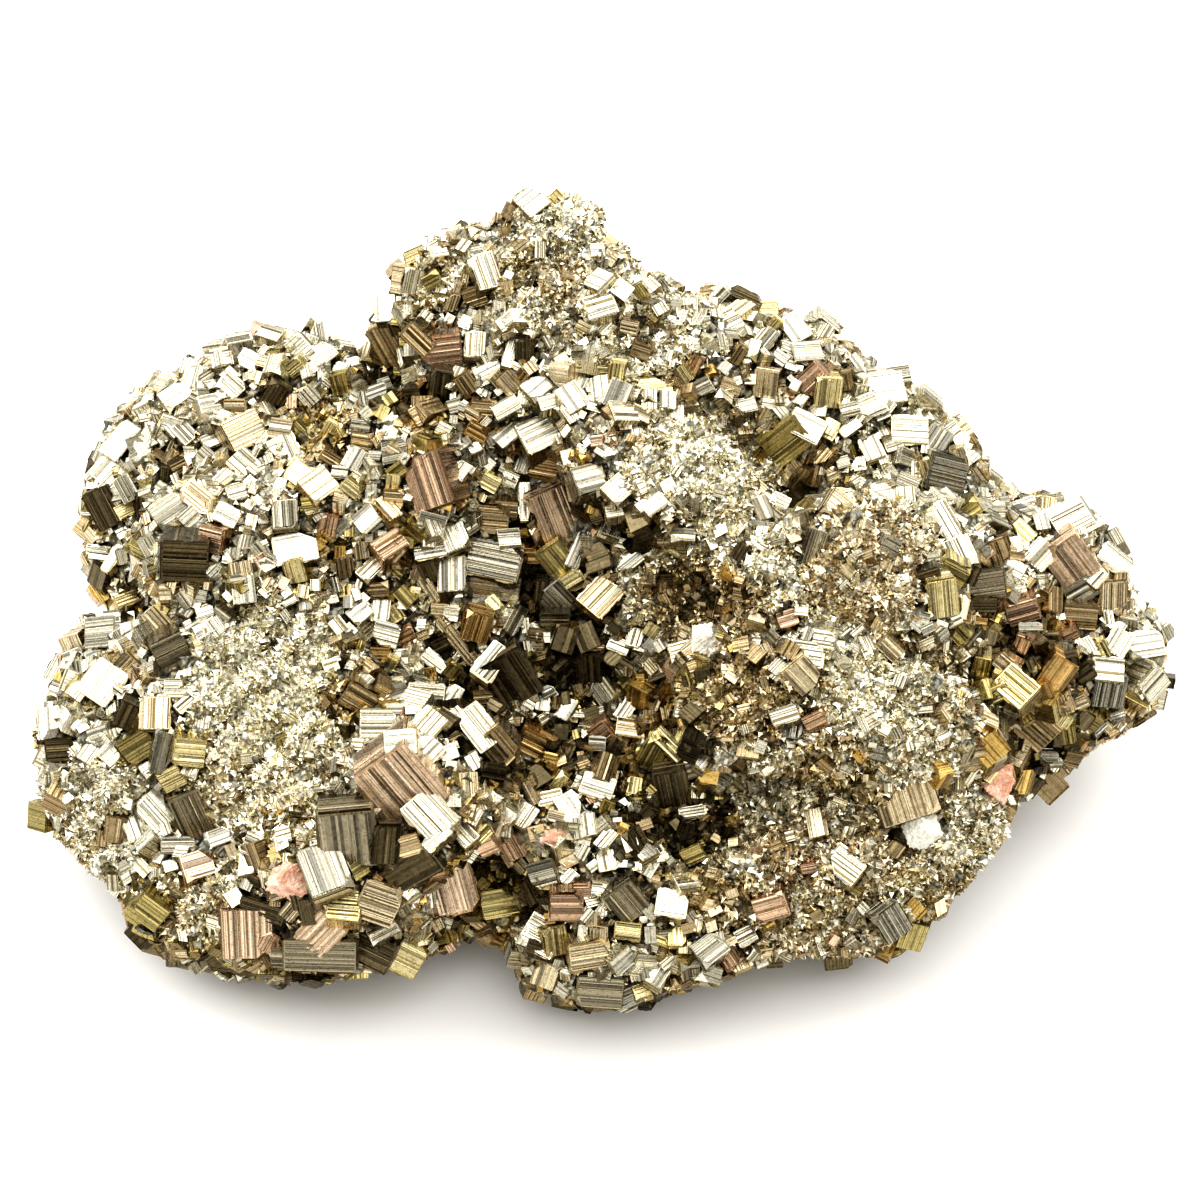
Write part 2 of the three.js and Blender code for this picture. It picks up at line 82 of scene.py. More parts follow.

# The crystals that can be made out one by one, by tone. Each one: pixel u, v of the middle of its
# front face, length along its growth lines, width across them (mm), angle of the lines in the view
# (degrees, anticlockwise from the right), and the way the face leans from the viewer (90 up, 270 down),
# which is left out where it is the usual one for that tone, given beside the tone.
# A tone is partly the crystal's own and partly painted light and shade: the pale ones mostly lean up and the
# slate, brown and dark ones mostly lean down.
CRYSTALS = {
    ("pale", 90): [
        (120, 440, 5.2, 2.9, 57, 110), (228, 515, 3, 2.4, 150), (175, 395, 3.6, 2.8, 38, 100),
        (195, 376, 3.2, 2.8, 80), (232, 385, 3.2, 2.6, 135, 70), (100, 553, 2.6, 2, 170, 110),
        (113, 557, 4, 1.2, 62, 120), (185, 432, 3, 2.2, 130), (245, 463, 3.4, 3, 135, 80),
        (225, 475, 3, 1.6, 50, 100), (237, 492, 2.4, 2.1, 20, 80), (212, 440, 2.4, 1.8, 25),
        (105, 468, 3.6, 2.6, 50, 130), (110, 482, 3, 1.6, 50, 120), (478, 345, 3.4, 3.2, 85, 70),
        (486, 271, 4.6, 3, 105, 60), (388, 308, 3.6, 3.2, 95, 110), (425, 318, 1.9, 1.6, 60),
        (322, 354, 3.2, 2.7, 45), (250, 360, 2.8, 2.4, 150), (355, 362, 1.8, 1.5, 20),
        (340, 368, 1.6, 1.4, 70), (405, 357, 2.6, 1.6, 100, 80), (290, 446, 3.8, 1.8, 115, 120),
        (460, 470, 2.4, 2, 60), (295, 548, 5, 3.8, 12, 95), (370, 569, 3, 2, 50), (348, 557, 1.8, 1.5, 30),
        (431, 551, 4, 1.7, 10, 95), (455, 537, 3.2, 3, 110), (360, 612, 2.6, 2.3, 45),
        (381, 610, 3, 2.2, 85), (331, 598, 1.6, 1.4, 15), (290, 600, 2, 1, 30), (510, 352, 4, 1.2, 75, 70),
        (537, 386, 3.2, 2.8, 45), (524, 395, 2.6, 1.4, 85, 100), (573, 397, 3.6, 2.8, 120),
        (548, 402, 2.2, 1.9, 20, 80), (600, 305, 3.6, 3.2, 20), (607, 329, 2, 1.7, 50),
        (540, 432, 4.8, 4.2, 28, 95), (525, 501, 4.8, 1.4, 90, 60), (683, 534, 2.8, 1.6, 175),
        (655, 504, 3, 1.8, 40), (620, 510, 3.4, 1.4, 10), (613, 526, 2.6, 2.2, 70, 80),
        (607, 550, 1.8, 1.5, 20), (750, 348, 2.6, 2.2, 75), (795, 328, 3.6, 2.8, 120, 80),
        (732, 323, 2.4, 2.1, 30), (870, 405, 3.4, 3.2, 28, 80), (885, 388, 4.8, 4.2, 10, 85),
        (910, 430, 4.4, 3.6, 178, 80), (850, 428, 2.8, 1.4, 40), (871, 448, 3, 2.4, 110),
        (893, 443, 2.2, 1.9, 20), (747, 405, 2.2, 1.9, 15), (946, 520, 4.8, 2.6, 115, 60),
        (960, 552, 3.8, 3.4, 110), (1012, 567, 3.2, 2, 150, 80), (970, 457, 2, 1.7, 45),
        (1040, 554, 3.6, 3.2, 50), (1115, 561, 4.2, 3.2, 140, 60), (1070, 517, 4.8, 4, 30),
        (1023, 505, 3.4, 1.6, 20), (1095, 577, 2.4, 2.1, 50), (1087, 645, 2, 1.7, 115),
        (1109, 669, 3.6, 3, 175, 80), (1141, 679, 3.6, 3.4, 50, 100), (1145, 644, 4.4, 3.6, 10),
        (1118, 642, 3.4, 2.8, 60), (134, 634, 2.8, 1.4, 20), (103, 682, 4.8, 4.4, 58, 110),
        (192, 767, 2.2, 1.9, 70), (185, 703, 2.4, 1.4, 45), (205, 611, 2, 1.7, 20), (90, 752, 2.6, 2.2, 60),
        (112, 752, 2.8, 2.4, 50), (150, 768, 2, 1.7, 35), (52, 722, 4, 3.6, 100, 130),
        (400, 742, 3.6, 3, 5, 95), (425, 751, 3.8, 3.4, 50, 80), (452, 696, 3, 2.2, 60),
        (479, 727, 5.4, 3.6, 125, 70), (449, 752, 2, 1.7, 20), (492, 661, 4.8, 2.8, 55),
        (434, 661, 3.2, 1.6, 140), (331, 665, 1.8, 1.5, 20), (156, 810, 4.6, 3.6, 130, 80),
        (134, 828, 3, 2, 110), (242, 977, 2, 1.7, 20), (430, 814, 5.4, 4.4, 130, 85),
        (465, 834, 2.6, 2.2, 130), (437, 838, 3.6, 1.4, 45, 80), (383, 930, 3.6, 2, 30),
        (543, 703, 1.8, 1.5, 80), (619, 645, 2.6, 1.8, 155), (635, 637, 2.4, 1.8, 75),
        (627, 707, 3.4, 1.8, 60), (706, 755, 3.4, 1.6, 55), (598, 786, 3.8, 2.8, 160),
        (550, 797, 3, 1.6, 15), (570, 806, 3.4, 2.6, 120), (692, 812, 3, 1.4, 10), (524, 815, 3, 2.5, 60),
        (542, 935, 4.6, 4.2, 148, 100), (672, 903, 3.6, 3.2, 170), (569, 877, 2, 1.7, 50),
        (657, 974, 2.6, 2.2, 60), (606, 860, 2.4, 2.1, 100), (807, 654, 3.6, 3, 170),
        (845, 866, 4, 3.2, 140), (745, 935, 2.4, 2.1, 30), (806, 426, 4.4, 3.4, 150, 80),
    ],
    ("silver", 90): [
        (170, 510, 4.3, 3.8, 38, 100), (455, 378, 3.2, 1.2, 70, 100), (285, 514, 3.6, 3, 95),
        (452, 574, 4.4, 3.4, 95, 120), (305, 603, 1.8, 1.5, 100), (702, 387, 2.4, 2.1, 30),
        (582, 384, 1.8, 1.5, 70), (540, 250, 2.4, 1.2, 90), (494, 560, 6.4, 4.6, 165, 100),
        (589, 478, 3.6, 3.4, 20, 60), (507, 435, 3.2, 2, 45), (525, 457, 4.2, 1.6, 75, 100),
        (765, 338, 3, 2.4, 55, 100), (780, 358, 2, 1.7, 140), (762, 508, 3, 2, 110),
        (100, 632, 4, 3.8, 2, 150), (378, 724, 4.2, 3.8, 0), (363, 681, 2.2, 1.9, 50),
        (426, 696, 4.4, 3.2, 175, 85), (325, 868, 5.8, 5, 110), (691, 771, 2.2, 1.9, 20),
        (710, 948, 3.6, 3.2, 40, 80), (778, 667, 2, 1.7, 50), (784, 714, 3.2, 2, 20),
        (899, 681, 1.6, 1.4, 70), (893, 923, 4, 3.6, 125, 330),
    ],
    ("grey", 90): [
        (376, 396, 3.4, 3, 25, 80), (360, 428, 2.4, 2.1, 170), (577, 550, 4.6, 1.4, 70, 100),
        (558, 600, 3.8, 3.4, 130, 280), (935, 440, 3.4, 3, 60, 100), (948, 474, 5, 4.6, 165, 330),
        (1080, 591, 3.8, 3, 35, 260), (1030, 626, 2.8, 1.2, 0), (1110, 692, 4, 4, 85, 300),
        (1049, 755, 2.2, 1.8, 0), (1097, 726, 2, 1.7, 45, 80), (1115, 712, 2, 1.7, 20),
        (140, 664, 2.8, 1.4, 140), (165, 754, 5, 2.4, 78, 330), (82, 667, 1.8, 1.5, 100),
        (187, 610, 1.6, 1.4, 60), (178, 844, 4, 2, 2, 85), (548, 691, 1.6, 1.4, 30),
        (597, 743, 2, 1.7, 175), (587, 815, 1.4, 1.2, 45), (629, 997, 3, 2.6, 30, 270),
        (793, 728, 2.4, 2.1, 80), (850, 955, 2.2, 1.9, 100),
    ],
    ("slate", 270): [
        (348, 840, 7, 6.4, 95, 275), (172, 652, 4.2, 3.8, 25, 300), (628, 903, 4.2, 4, 125, 260),
        (195, 820, 6.4, 4, 113, 300), (494, 587, 6.2, 3.2, 172, 265), (985, 585, 4.6, 3.8, 10),
        (320, 956, 8.4, 4, 178), (600, 993, 5.4, 4, 175),
    ],
    ("tan", 230): [
        (197, 497, 3.7, 3, 140, 60), (170, 457, 2.2, 1.5, 58, 200), (245, 430, 4.8, 3.8, 28, 30),
        (235, 407, 2.8, 1.7, 3, 220), (452, 303, 2.2, 1.5, 70, 250), (319, 484, 3.8, 3.6, 40, 60),
        (472, 415, 2.2, 1.6, 150, 240), (395, 553, 2, 1.7, 50, 250), (418, 572, 2.4, 1.4, 70, 240),
        (430, 590, 3.6, 1.6, 120), (440, 611, 2.2, 1.8, 0, 240), (512, 385, 3.4, 2.4, 135, 330),
        (629, 328, 2.2, 1.8, 170), (520, 245, 1.8, 1.5, 40, 240), (600, 596, 4.4, 3.8, 50, 90),
        (765, 385, 3.4, 3, 80), (928, 475, 3.6, 1.4, 105, 240), (968, 444, 2.6, 1.6, 105, 240),
        (978, 477, 2.4, 1.4, 125), (1006, 666, 3, 2, 140), (1079, 703, 2, 1.7, 30, 240),
        (153, 621, 3.4, 3.2, 130), (126, 667, 3.2, 2.6, 45), (155, 713, 4, 3.6, 90, 85),
        (460, 645, 5.4, 1.6, 125, 240), (290, 912, 2.2, 1.9, 50), (379, 904, 4.8, 4.8, 155, 300),
        (617, 746, 2.2, 1.9, 60), (530, 793, 3, 1.4, 115), (590, 955, 4.8, 3.4, 5, 300),
        (598, 938, 2.6, 2, 85, 235), (545, 975, 3.2, 2.8, 70, 240), (803, 676, 3.8, 3.4, 130, 280),
        (890, 649, 2.8, 2, 135), (1113, 598, 4, 3.6, 95, 320),
    ],
    ("gold", 250): [
        (125, 510, 2.2, 1.8, 32, 80), (295, 368, 2.2, 1.9, 40), (300, 475, 3.2, 2.8, 140, 70),
        (352, 488, 2.3, 2, 140), (393, 482, 1.8, 1.6, 80), (295, 572, 2.8, 2.3, 100, 255),
        (395, 613, 2, 1.7, 120), (330, 432, 2.2, 1.9, 60), (601, 372, 2, 1.7, 175, 255),
        (617, 372, 2.2, 1.9, 80), (652, 384, 3, 1.8, 10, 70), (683, 375, 2.2, 1.8, 120),
        (572, 582, 2.8, 2.4, 35, 255), (490, 483, 2.2, 2, 150), (673, 549, 2.8, 1.4, 150, 245),
        (651, 630, 1.7, 1.5, 60), (765, 312, 3.2, 2.8, 5, 80), (774, 325, 1.6, 1.4, 50),
        (829, 393, 3.6, 3.2, 88, 300), (830, 427, 2, 1.7, 60, 90), (1023, 531, 3, 2, 130, 70),
        (943, 599, 4.6, 3.4, 100, 300), (1102, 650, 2.2, 1.4, 115), (1015, 686, 4.6, 3.8, 135, 110),
        (998, 693, 2.4, 2.1, 30), (1065, 722, 1.6, 1.4, 60), (1138, 697, 3, 1.6, 150, 70),
        (190, 753, 3.6, 3.4, 170, 300), (172, 779, 3, 2.6, 30, 245), (128, 598, 3, 1.6, 25, 70),
        (390, 665, 1.8, 1.5, 60), (494, 604, 2, 1.7, 130, 80), (404, 956, 5, 4.2, 150, 320),
        (344, 905, 3.8, 3.6, 175, 85), (669, 744, 4.6, 2, 132, 75), (634, 785, 2, 1.7, 80, 80),
        (558, 783, 2.6, 1.2, 50, 245), (556, 941, 3.4, 2.8, 100, 345), (628, 931, 3, 2.2, 175),
        (677, 935, 2.4, 2.1, 88, 75), (642, 990, 2, 1.7, 20, 80),
    ],
    ("olive", 260): [
        (140, 550, 2.8, 2.2, 150, 250), (432, 281, 2.2, 1.9, 30), (340, 385, 2.6, 2.2, 100, 255),
        (397, 472, 2.2, 1.9, 40), (310, 504, 2, 1.7, 10, 265), (300, 430, 2.2, 1.9, 130),
        (641, 294, 2.2, 1.4, 120), (558, 562, 4.2, 3.6, 125, 270), (785, 443, 5.2, 4.2, 40, 235),
        (970, 510, 2.4, 2, 40), (952, 575, 3.4, 3, 150), (957, 632, 3, 2.4, 130, 255),
        (981, 669, 2.4, 2, 80), (1067, 735, 2.4, 2, 100), (138, 748, 4, 3.4, 35, 265),
        (453, 671, 2, 1.7, 50), (150, 912, 3.8, 3.6, 140, 250), (500, 903, 4.4, 3.8, 10, 280),
        (660, 757, 4.6, 4.2, 65), (607, 808, 1.8, 1.5, 70), (693, 855, 2.6, 2.2, 30),
    ],
    ("copper", 250): [
        (477, 433, 2.6, 2, 150), (477, 628, 3.6, 3.2, 75, 280), (528, 556, 2.4, 2, 0, 260),
        (979, 624, 1.8, 1.5, 175), (1057, 675, 4.2, 3.4, 60, 260), (1044, 692, 2, 1.7, 110),
        (380, 653, 2.4, 1.4, 0), (432, 675, 1.6, 1.4, 100), (533, 745, 3.6, 3.4, 150, 265),
    ],
    ("rose", 240): [
        (210, 540, 3.2, 3, 170, 200), (441, 352, 5, 4, 8, 270), (427, 482, 6.4, 5, 108, 200),
        (328, 526, 2.6, 2.2, 75), (390, 544, 3.8, 2.8, 38, 80), (695, 366, 2.2, 1.6, 65),
        (508, 445, 1.6, 1.4, 100), (812, 381, 3.6, 3.2, 40, 200), (1022, 611, 3.8, 3.2, 20, 260),
        (1070, 634, 1.8, 1.5, 30), (1021, 646, 2, 1.7, 70), (405, 636, 2.4, 1.6, 30),
        (268, 942, 2.6, 2.2, 60), (512, 849, 2.8, 2.4, 115), (600, 735, 2.8, 2.4, 40),
        (567, 907, 3.8, 3.4, 0, 270), (729, 956, 2.6, 2.2, 120), (815, 722, 2.6, 2.2, 30),
        (787, 618, 2.2, 1.9, 20, 90), (811, 868, 2.4, 1.2, 15), (770, 908, 3.8, 3.2, 20, 265),
    ],
    ("blush", 270): [
        (401, 788, 8.4, 7.4, 125), (247, 934, 6.4, 6, 90), (448, 888, 7.2, 6.6, 104, 285),
        (198, 864, 3.6, 3.2, 20, 80), (557, 515, 6.4, 5, 115, 330), (1070, 563, 5.8, 5, 125),
        (321, 934, 5, 4.2, 50, 260),
    ],
    ("brown", 265): [
        (160, 455, 1.7, 1, 145, 250), (180, 465, 2.4, 2.1, 30, 270), (475, 298, 2.8, 2.4, 20, 270),
        (389, 345, 5.2, 4, 115, 250), (365, 348, 4, 2.4, 135, 230), (466, 385, 2.6, 2.2, 120, 270),
        (331, 460, 2.6, 1.6, 145), (362, 442, 2.6, 2.2, 170, 270), (394, 498, 2.4, 2.1, 175, 270),
        (345, 568, 2.6, 2.2, 95), (378, 590, 2.6, 1.8, 5), (641, 352, 2.2, 1.8, 160),
        (547, 466, 5.2, 3.4, 168, 270), (493, 520, 3.8, 3.6, 175), (482, 410, 2.6, 2, 175),
        (847, 382, 2.2, 1.4, 100), (738, 355, 2.4, 1.4, 60), (998, 551, 2.6, 2.2, 110),
        (1080, 617, 4.2, 3.2, 175, 270), (1037, 727, 5, 4.8, 135), (361, 701, 4.4, 3.4, 145, 270),
        (498, 746, 4, 3.6, 125, 270), (116, 830, 3.4, 2.6, 80), (408, 846, 3, 2.6, 20),
        (895, 850, 2, 1.7, 60),
    ],
    ("dark", 270): [
        (103, 509, 5, 3.8, 113, 230), (143, 508, 3.4, 1.7, 88, 260), (165, 475, 1.7, 1.5, 80, 260),
        (185, 562, 5.6, 5, 176, 275), (275, 397, 3.4, 2.8, 60, 265), (440, 388, 4, 2.6, 80, 260),
        (430, 573, 2.6, 2.2, 110, 265), (525, 350, 2.5, 2.2, 90, 265), (541, 594, 3.4, 1.4, 85),
        (555, 622, 3.6, 2, 0), (930, 578, 2.4, 2.1, 20), (969, 575, 2.4, 2.1, 70), (984, 605, 3, 1.8, 0),
        (1070, 668, 2.6, 2.2, 100), (1085, 675, 2.2, 1.9, 40), (129, 717, 3.4, 2.8, 65, 265),
        (60, 750, 3.2, 3, 5, 265), (140, 581, 2.6, 2.2, 20, 265), (441, 645, 2, 1.7, 30),
        (346, 664, 1.6, 1.4, 80, 265), (512, 680, 6.2, 5.2, 120, 280), (262, 911, 5.4, 2.4, 160, 265),
        (237, 967, 6, 1.4, 170), (387, 845, 4.6, 3.2, 88, 320), (412, 871, 6.4, 3.4, 35, 255),
        (372, 952, 4.8, 4.2, 155, 240), (312, 911, 3.4, 2.8, 100), (469, 942, 2.6, 2.2, 60),
        (672, 790, 4.6, 4, 100, 265), (540, 953, 3.4, 2, 160, 265),
    ],
}

# Those at least SOLID_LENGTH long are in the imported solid, and stand PROUD of it (mm). The others stand
# out of the mass by a share of their depth. FACE_TILT is how far a face leans, CLEAR_FRONT the room in
# front of one that others keep clear of. Normals are the same way where their product is over SAME_WAY,
# and LEAST_HEIGHT is how low a crystal may reach.
FACE_TILT = math.radians(22)
SOLID_LENGTH = 3.55
PROUD = 0.35
RISE_SHARE = 0.22
CLEAR_FRONT = 3.5
SAME_WAY = 0.35
LEAST_HEIGHT = -2

# Crystals on the hidden back and sides, at even steps of the golden angle round the mound: how many are
# tried, where they are aimed from, how steeply, and their lengths (mm) and least width to length.
BACK_CRYSTALS = 62
BACK_CENTRE = np.array([0.0, 6.0, 10.0])
BACK_REACH = 120.0
BACK_LOWEST_RISE = 0.04
BACK_RISE_SPAN = 0.8
BACK_LEAST_HEIGHT = 3
BACK_SMALLEST = 3.2
BACK_LARGEST = 7.0
BACK_LEAST_WIDTH = 0.75

# Stretches of fine crystal crust in the view: pixel u, v of the middle and reach across and up. A
# stretch is full up to the second share of its reach and gone at the first.
ZONE_RIM = (1.25, 0.8)
FINE_ZONES = [
    (272, 700, 88, 100), (250, 795, 80, 40), (95, 820, 52, 70), (210, 900, 60, 40), (865, 565, 75, 68),
    (700, 470, 78, 62), (715, 590, 90, 66), (780, 725, 90, 75), (895, 715, 75, 75), (880, 875, 190, 95),
    (580, 265, 85, 85), (430, 280, 34, 34), (325, 425, 34, 30), (640, 350, 60, 40),
]

# Stretches with a mix of tones of their own: pixel u, v, reach across and up, and the mix of tones there.
# Those with the white and bright mixes are painted light on lit ridges and rims, those with the shadow,
# deep, umber and warm mixes painted shade in hollows, clefts and under ledges, and the brown ones the
# crust's own colour.
TONE_ZONES = [
    (270, 690, 85, 75, "white"), (110, 790, 75, 90, "white"), (160, 420, 70, 50, "bright"),
    (590, 300, 60, 80, "bright"), (560, 215, 50, 30, "white"), (680, 460, 85, 52, "white"),
    (940, 450, 60, 60, "bright"), (715, 535, 50, 16, "white"), (760, 575, 40, 26, "white"),
    (815, 630, 42, 26, "white"), (875, 690, 42, 36, "white"), (930, 760, 50, 40, "bright"),
    (960, 830, 80, 40, "bright"), (740, 770, 50, 30, "bright"), (590, 965, 60, 30, "bright"),
    (865, 560, 72, 60, "brown"), (705, 600, 62, 34, "umber_shade"), (745, 690, 66, 40, "umber_shade"),
    (690, 710, 56, 44, "umber_shade"), (830, 850, 90, 34, "brown"), (800, 950, 120, 22, "brown"),
    (568, 283, 34, 20, "brown"), (325, 430, 34, 30, "shadow"), (410, 525, 16, 22, "shadow"),
    (330, 545, 18, 16, "shadow"), (470, 715, 34, 40, "deep"), (620, 425, 36, 28, "brown"),
    (420, 425, 26, 24, "shadow"), (355, 700, 34, 34, "shadow"), (620, 775, 40, 28, "shadow"),
    (455, 800, 40, 26, "shadow"), (690, 895, 56, 30, "umber_shade"), (1050, 715, 46, 36, "shadow"),
    (900, 415, 70, 44, "white"), (1060, 770, 60, 30, "shadow"), (1010, 640, 60, 80, "warm"),
    (500, 820, 60, 60, "warm"), (400, 880, 110, 90, "warm"), (535, 565, 24, 66, "deep"),
    (590, 600, 26, 44, "deep"), (585, 670, 50, 40, "deep"), (535, 755, 50, 40, "deep"),
    (655, 690, 30, 26, "shadow"), (680, 820, 66, 34, "deep"), (500, 890, 56, 36, "deep"),
    (804, 494, 18, 22, "deep"), (1035, 655, 44, 40, "deep"), (390, 392, 30, 26, "deep"),
]

# How many crystals in a mix have each tone. The white and bright mixes are painted light and the
# shadow, deep and umber mixes painted shade. Where no zone says, faces that look up by more than the
# first lift below get the bright mix as painted light, and those below the second and third the warm
# and shadow mixes as painted shade.
MIXES = {
    "plain": {"pale": 50, "silver": 20, "tan": 14, "gold": 2, "olive": 5, "brown": 5, "grey": 3, "amber": 2},
    "white": {"pale": 86, "silver": 8, "tan": 6},
    "bright": {"pale": 66, "silver": 20, "tan": 10, "rose": 2, "grey": 2},
    "brown": {"tan": 20, "brown": 20, "pale": 28, "blush": 8, "silver": 18, "olive": 3, "dark": 3},
    "umber_shade": {"brown": 42, "dark": 20, "tan": 18, "olive": 10, "pale": 10},
    "shadow": {"dark": 28, "brown": 22, "amber": 10, "olive": 20, "tan": 10, "black": 4, "pale": 8},
    "deep": {"black": 32, "dark": 34, "brown": 12, "olive": 10, "amber": 8, "pale": 5},
    "warm": {"pale": 36, "tan": 18, "amber": 7, "brown": 12, "olive": 12, "rose": 2, "silver": 8, "dark": 6},
}
PAINTED_LIGHT_LIFT = 0.72
PAINTED_WARM_SHADE_LIFT = 0.42
PAINTED_SHADOW_LIFT = 0.05
LIFT_JITTER = 0.12

# How much lighter or darker one thing is than the next, as the least and greatest factor, and the
# colour that steep faces are darkened by as painted shade.
CRYSTAL_LIGHT = (0.82, 1.12)
GROWTH_LIGHT = (0.8, 1.1)
FACE_LIGHT = (0.8, 1.15)
DRUSE_LIGHT = 1.1
STEEP_SHADE_TINT = np.array([0.50, 0.43, 0.30])

# The mass between the crystals, in mm: the steps of its skin, the height of its swells where the crust
# is fine, the width, slopes, lifts and reach of its facets, how far it sinks under a large crystal and
# how far round one, and the height below which its underside is flat.
MASS_VOXEL = 0.9
SWELL = 3.2
FACET_SPACING = 1.4
FACET_SLOPE = 0.38
FACET_LIFT = (-0.25, 0.2)
FACET_REACH = (-0.8, 0.6)
SINK = 1.1
SINK_REACH = 0.3
FLAT_BELOW = 0.6

# The share of corners that are well cut, how far along an edge such a cut reaches as a share of it, how
# far the rest do, and how uneven a cut is.
CUT_SHARE = 0.42
WELL_CUT = (0.14, 0.42)
HARDLY_CUT = 0.03
UNEVEN_CUT = (0.7, 1.3)

# Smaller blocks grown on the large crystals, in two rounds: the share of crystals that have one, and as
# shares of the crystal its size, its shift to the sides and its step down from the front.
GROWTH_ROUNDS = (0.6, 0.5)
GROWTH_SIZE = (0.4, 0.75)
GROWTH_SHIFT = (0.28, 0.5)
GROWTH_STEP = (0.04, 0.3)

# The strewn crystals of each size class: how many are tried, their lengths (mm), how far they tilt
# from the skin, how flat they may be, and how varied their tones are. In all of them short ones are
# commoner, and sunk or raised by shares of their length.
LENGTH_POWER = 1.7
LEAST_WIDTH = 0.6
SUNK_OR_RAISED = (-0.28, 0.14)
STREWN_GAP = 0.22
STREWN_LEAST_HEIGHT = 0.05
MEDIUM = {"count": 3500, "smallest": 1.5, "largest": 3.7, "tilt": 0.38}
SMALL = {"count": 14500, "smallest": 0.9, "largest": 2.0, "tilt": 0.45}
DRUSE = {"count": 124000, "smallest": 0.45, "largest": 1.1, "tilt": 0.36, "flatness": 0.36, "variety": 0.45}

# A rough cube corner of the crust: how far its foot is turned (radians), and as shares of its size the
# reach of its foot, the lean of its tip and its root.
SHARD_TURN = (-0.5, 0.5)
SHARD_REACH = (0.75, 1.35)
SHARD_LEAN = (-0.2, 0.2)
SHARD_ROOT = 0.3

# How many bands of growth lines the front of a crystal over WIDE has (mm), and other faces, growths and
# medium crystals.
WIDE = 3.5
WIDE_BANDS = 26
BANDS = 12
GROWTH_BANDS = 10
MEDIUM_BANDS = 6

# Growth lines as relief: the shares of a face that the lined plate covers along and across the lines,
# the height of its lines against the width of the face, up to the width LINED_WIDTH (mm), the shape and
# scale of the gamma distribution that gives the widths of bands, the width and slopes of what is between
# them, the least height and the root (mm). LINED is how strongly faces are lined: mean, spread, least.
PLATE_ALONG = (0.93, 0.985)
PLATE_ACROSS = (0.92, 0.985)
LINE_HEIGHT = 0.03
LINED_WIDTH = 6
BAND_WIDTH = (3.5, 0.3)
SLOPE_WIDTH = 0.45
LINE_SLOPE = (0.25, 0.55)
LEAST_LIFT = 0.04
ROOT = 0.2
LINED = (0.8, 0.3, 0.05)


def unit(vectors):
    return vectors / np.linalg.norm(vectors, axis=-1, keepdims=True)


def dot(a, b):
    return (a * b).sum(-1)


def fade(low, high, values):
    """0 below low, 1 above high, and a smooth rise between."""
    t = np.clip((values - low) / (high - low), 0, 1)
    return t * t * (3 - 2 * t)


def repeatable(i, k):
    """A repeatable number from 0 to 1 for whole numbers i and k."""
    return math.modf(math.sin(i * 12.9898 + k * 78.233) * 43758.5453)[0] % 1.0


def view_ray(u, v):
    """Unit direction from the eye through a pixel of the view."""
    across = (u / VIEW_PIXELS - 0.5) * SENSOR / LENS
    above = (0.5 - v / VIEW_PIXELS) * SENSOR / LENS
    return unit(RIGHT * across + UPWARD * above - TOWARD)


def to_pixels(points):
    """The pixels at which points show, in the view."""
    offset = points - EYE
    depth = -dot(offset, TOWARD)
    u = VIEW_PIXELS * (0.5 + dot(offset, RIGHT) / depth * LENS / SENSOR)
    v = VIEW_PIXELS * (0.5 - dot(offset, UPWARD) / depth * LENS / SENSOR)
    return u, v


def waves(points, length, seed):
    """Smooth uneven pattern from 0 to 1 with swells of about the given length."""
    x, y, z = (points * (2 * math.pi / length)).T
    a = np.sin(x + 1.7 * np.sin(0.61 * z + seed)) * np.sin(y + 1.3 * np.sin(0.73 * x + 2 * seed))
    b = np.sin(z + 1.9 * np.sin(0.57 * y + 3 * seed)) * np.sin(0.8 * x - 0.6 * y + seed)
    return 0.5 + 0.25 * (a + b)


def in_zone(u, v, zone):
    """1 inside a zone of the view, fading to 0 at its rim."""
    return fade(*ZONE_RIM, np.hypot((u - zone[0]) / zone[2], (v - zone[1]) / zone[3]))


def fineness(points, normals):
    """0 where crystals are coarse and 1 where the crust is fine."""
    u, v = to_pixels(points)
    seen = np.max([in_zone(u, v, zone) for zone in FINE_ZONES], axis=0)
    hidden = fade(0.5, 0.62, waves(points, 34, 1.3))
    return np.where(dot(normals, unit(EYE - points)) > SEEN, seen, hidden)


def pick_tones(points, normals, variety=1.0):
    """A tone for each crystal, from the mix of the zone it is in, or else from how far its face looks up, as
    painted light and shade. Less variety keeps near its average.
    """
    u, v = to_pixels(points)
    toward = dot(normals, unit(EYE - points))
    lift = normals[:, 2] + RNG.normal(0, LIFT_JITTER, len(points))
    # Painted light on faces that look up and painted shade on those that look down.
    mix = np.full(len(points), "plain", dtype=object)
    mix[lift > PAINTED_LIGHT_LIFT] = "bright"
    mix[lift < PAINTED_WARM_SHADE_LIFT] = "warm"
    mix[lift < PAINTED_SHADOW_LIFT] = "shadow"
    mix[(toward < HIDDEN) & (waves(points, 27, 0.4) > 0.75)] = "brown"
    for zone in TONE_ZONES:
        mix[(toward > SEEN) & (RNG.random(len(points)) < in_zone(u, v, zone))] = zone[4]
    colours = np.zeros((len(points), 3))
    for name, shares in MIXES.items():
        rows = np.flatnonzero(mix == name)
        weight = np.array(list(shares.values()), float)
        chosen = RNG.choice(list(shares), len(rows), p=weight / weight.sum())
        average = weight @ np.array([TONES[tone] for tone in shares]) / weight.sum()
        picked = np.array([TONES[tone] for tone in chosen]).reshape(-1, 3)
        colours[rows] = average + variety * (picked - average)
    return colours * RNG.uniform(*CRYSTAL_LIGHT, (len(points), 1))


def numbers_of(items, key, width, kind=float):
    """A row of numbers from each vertex, triangle or face of a mesh."""
    numbers = np.empty(len(items) * width, kind)
    items.foreach_get(key, numbers)
    return numbers.reshape(-1, width)


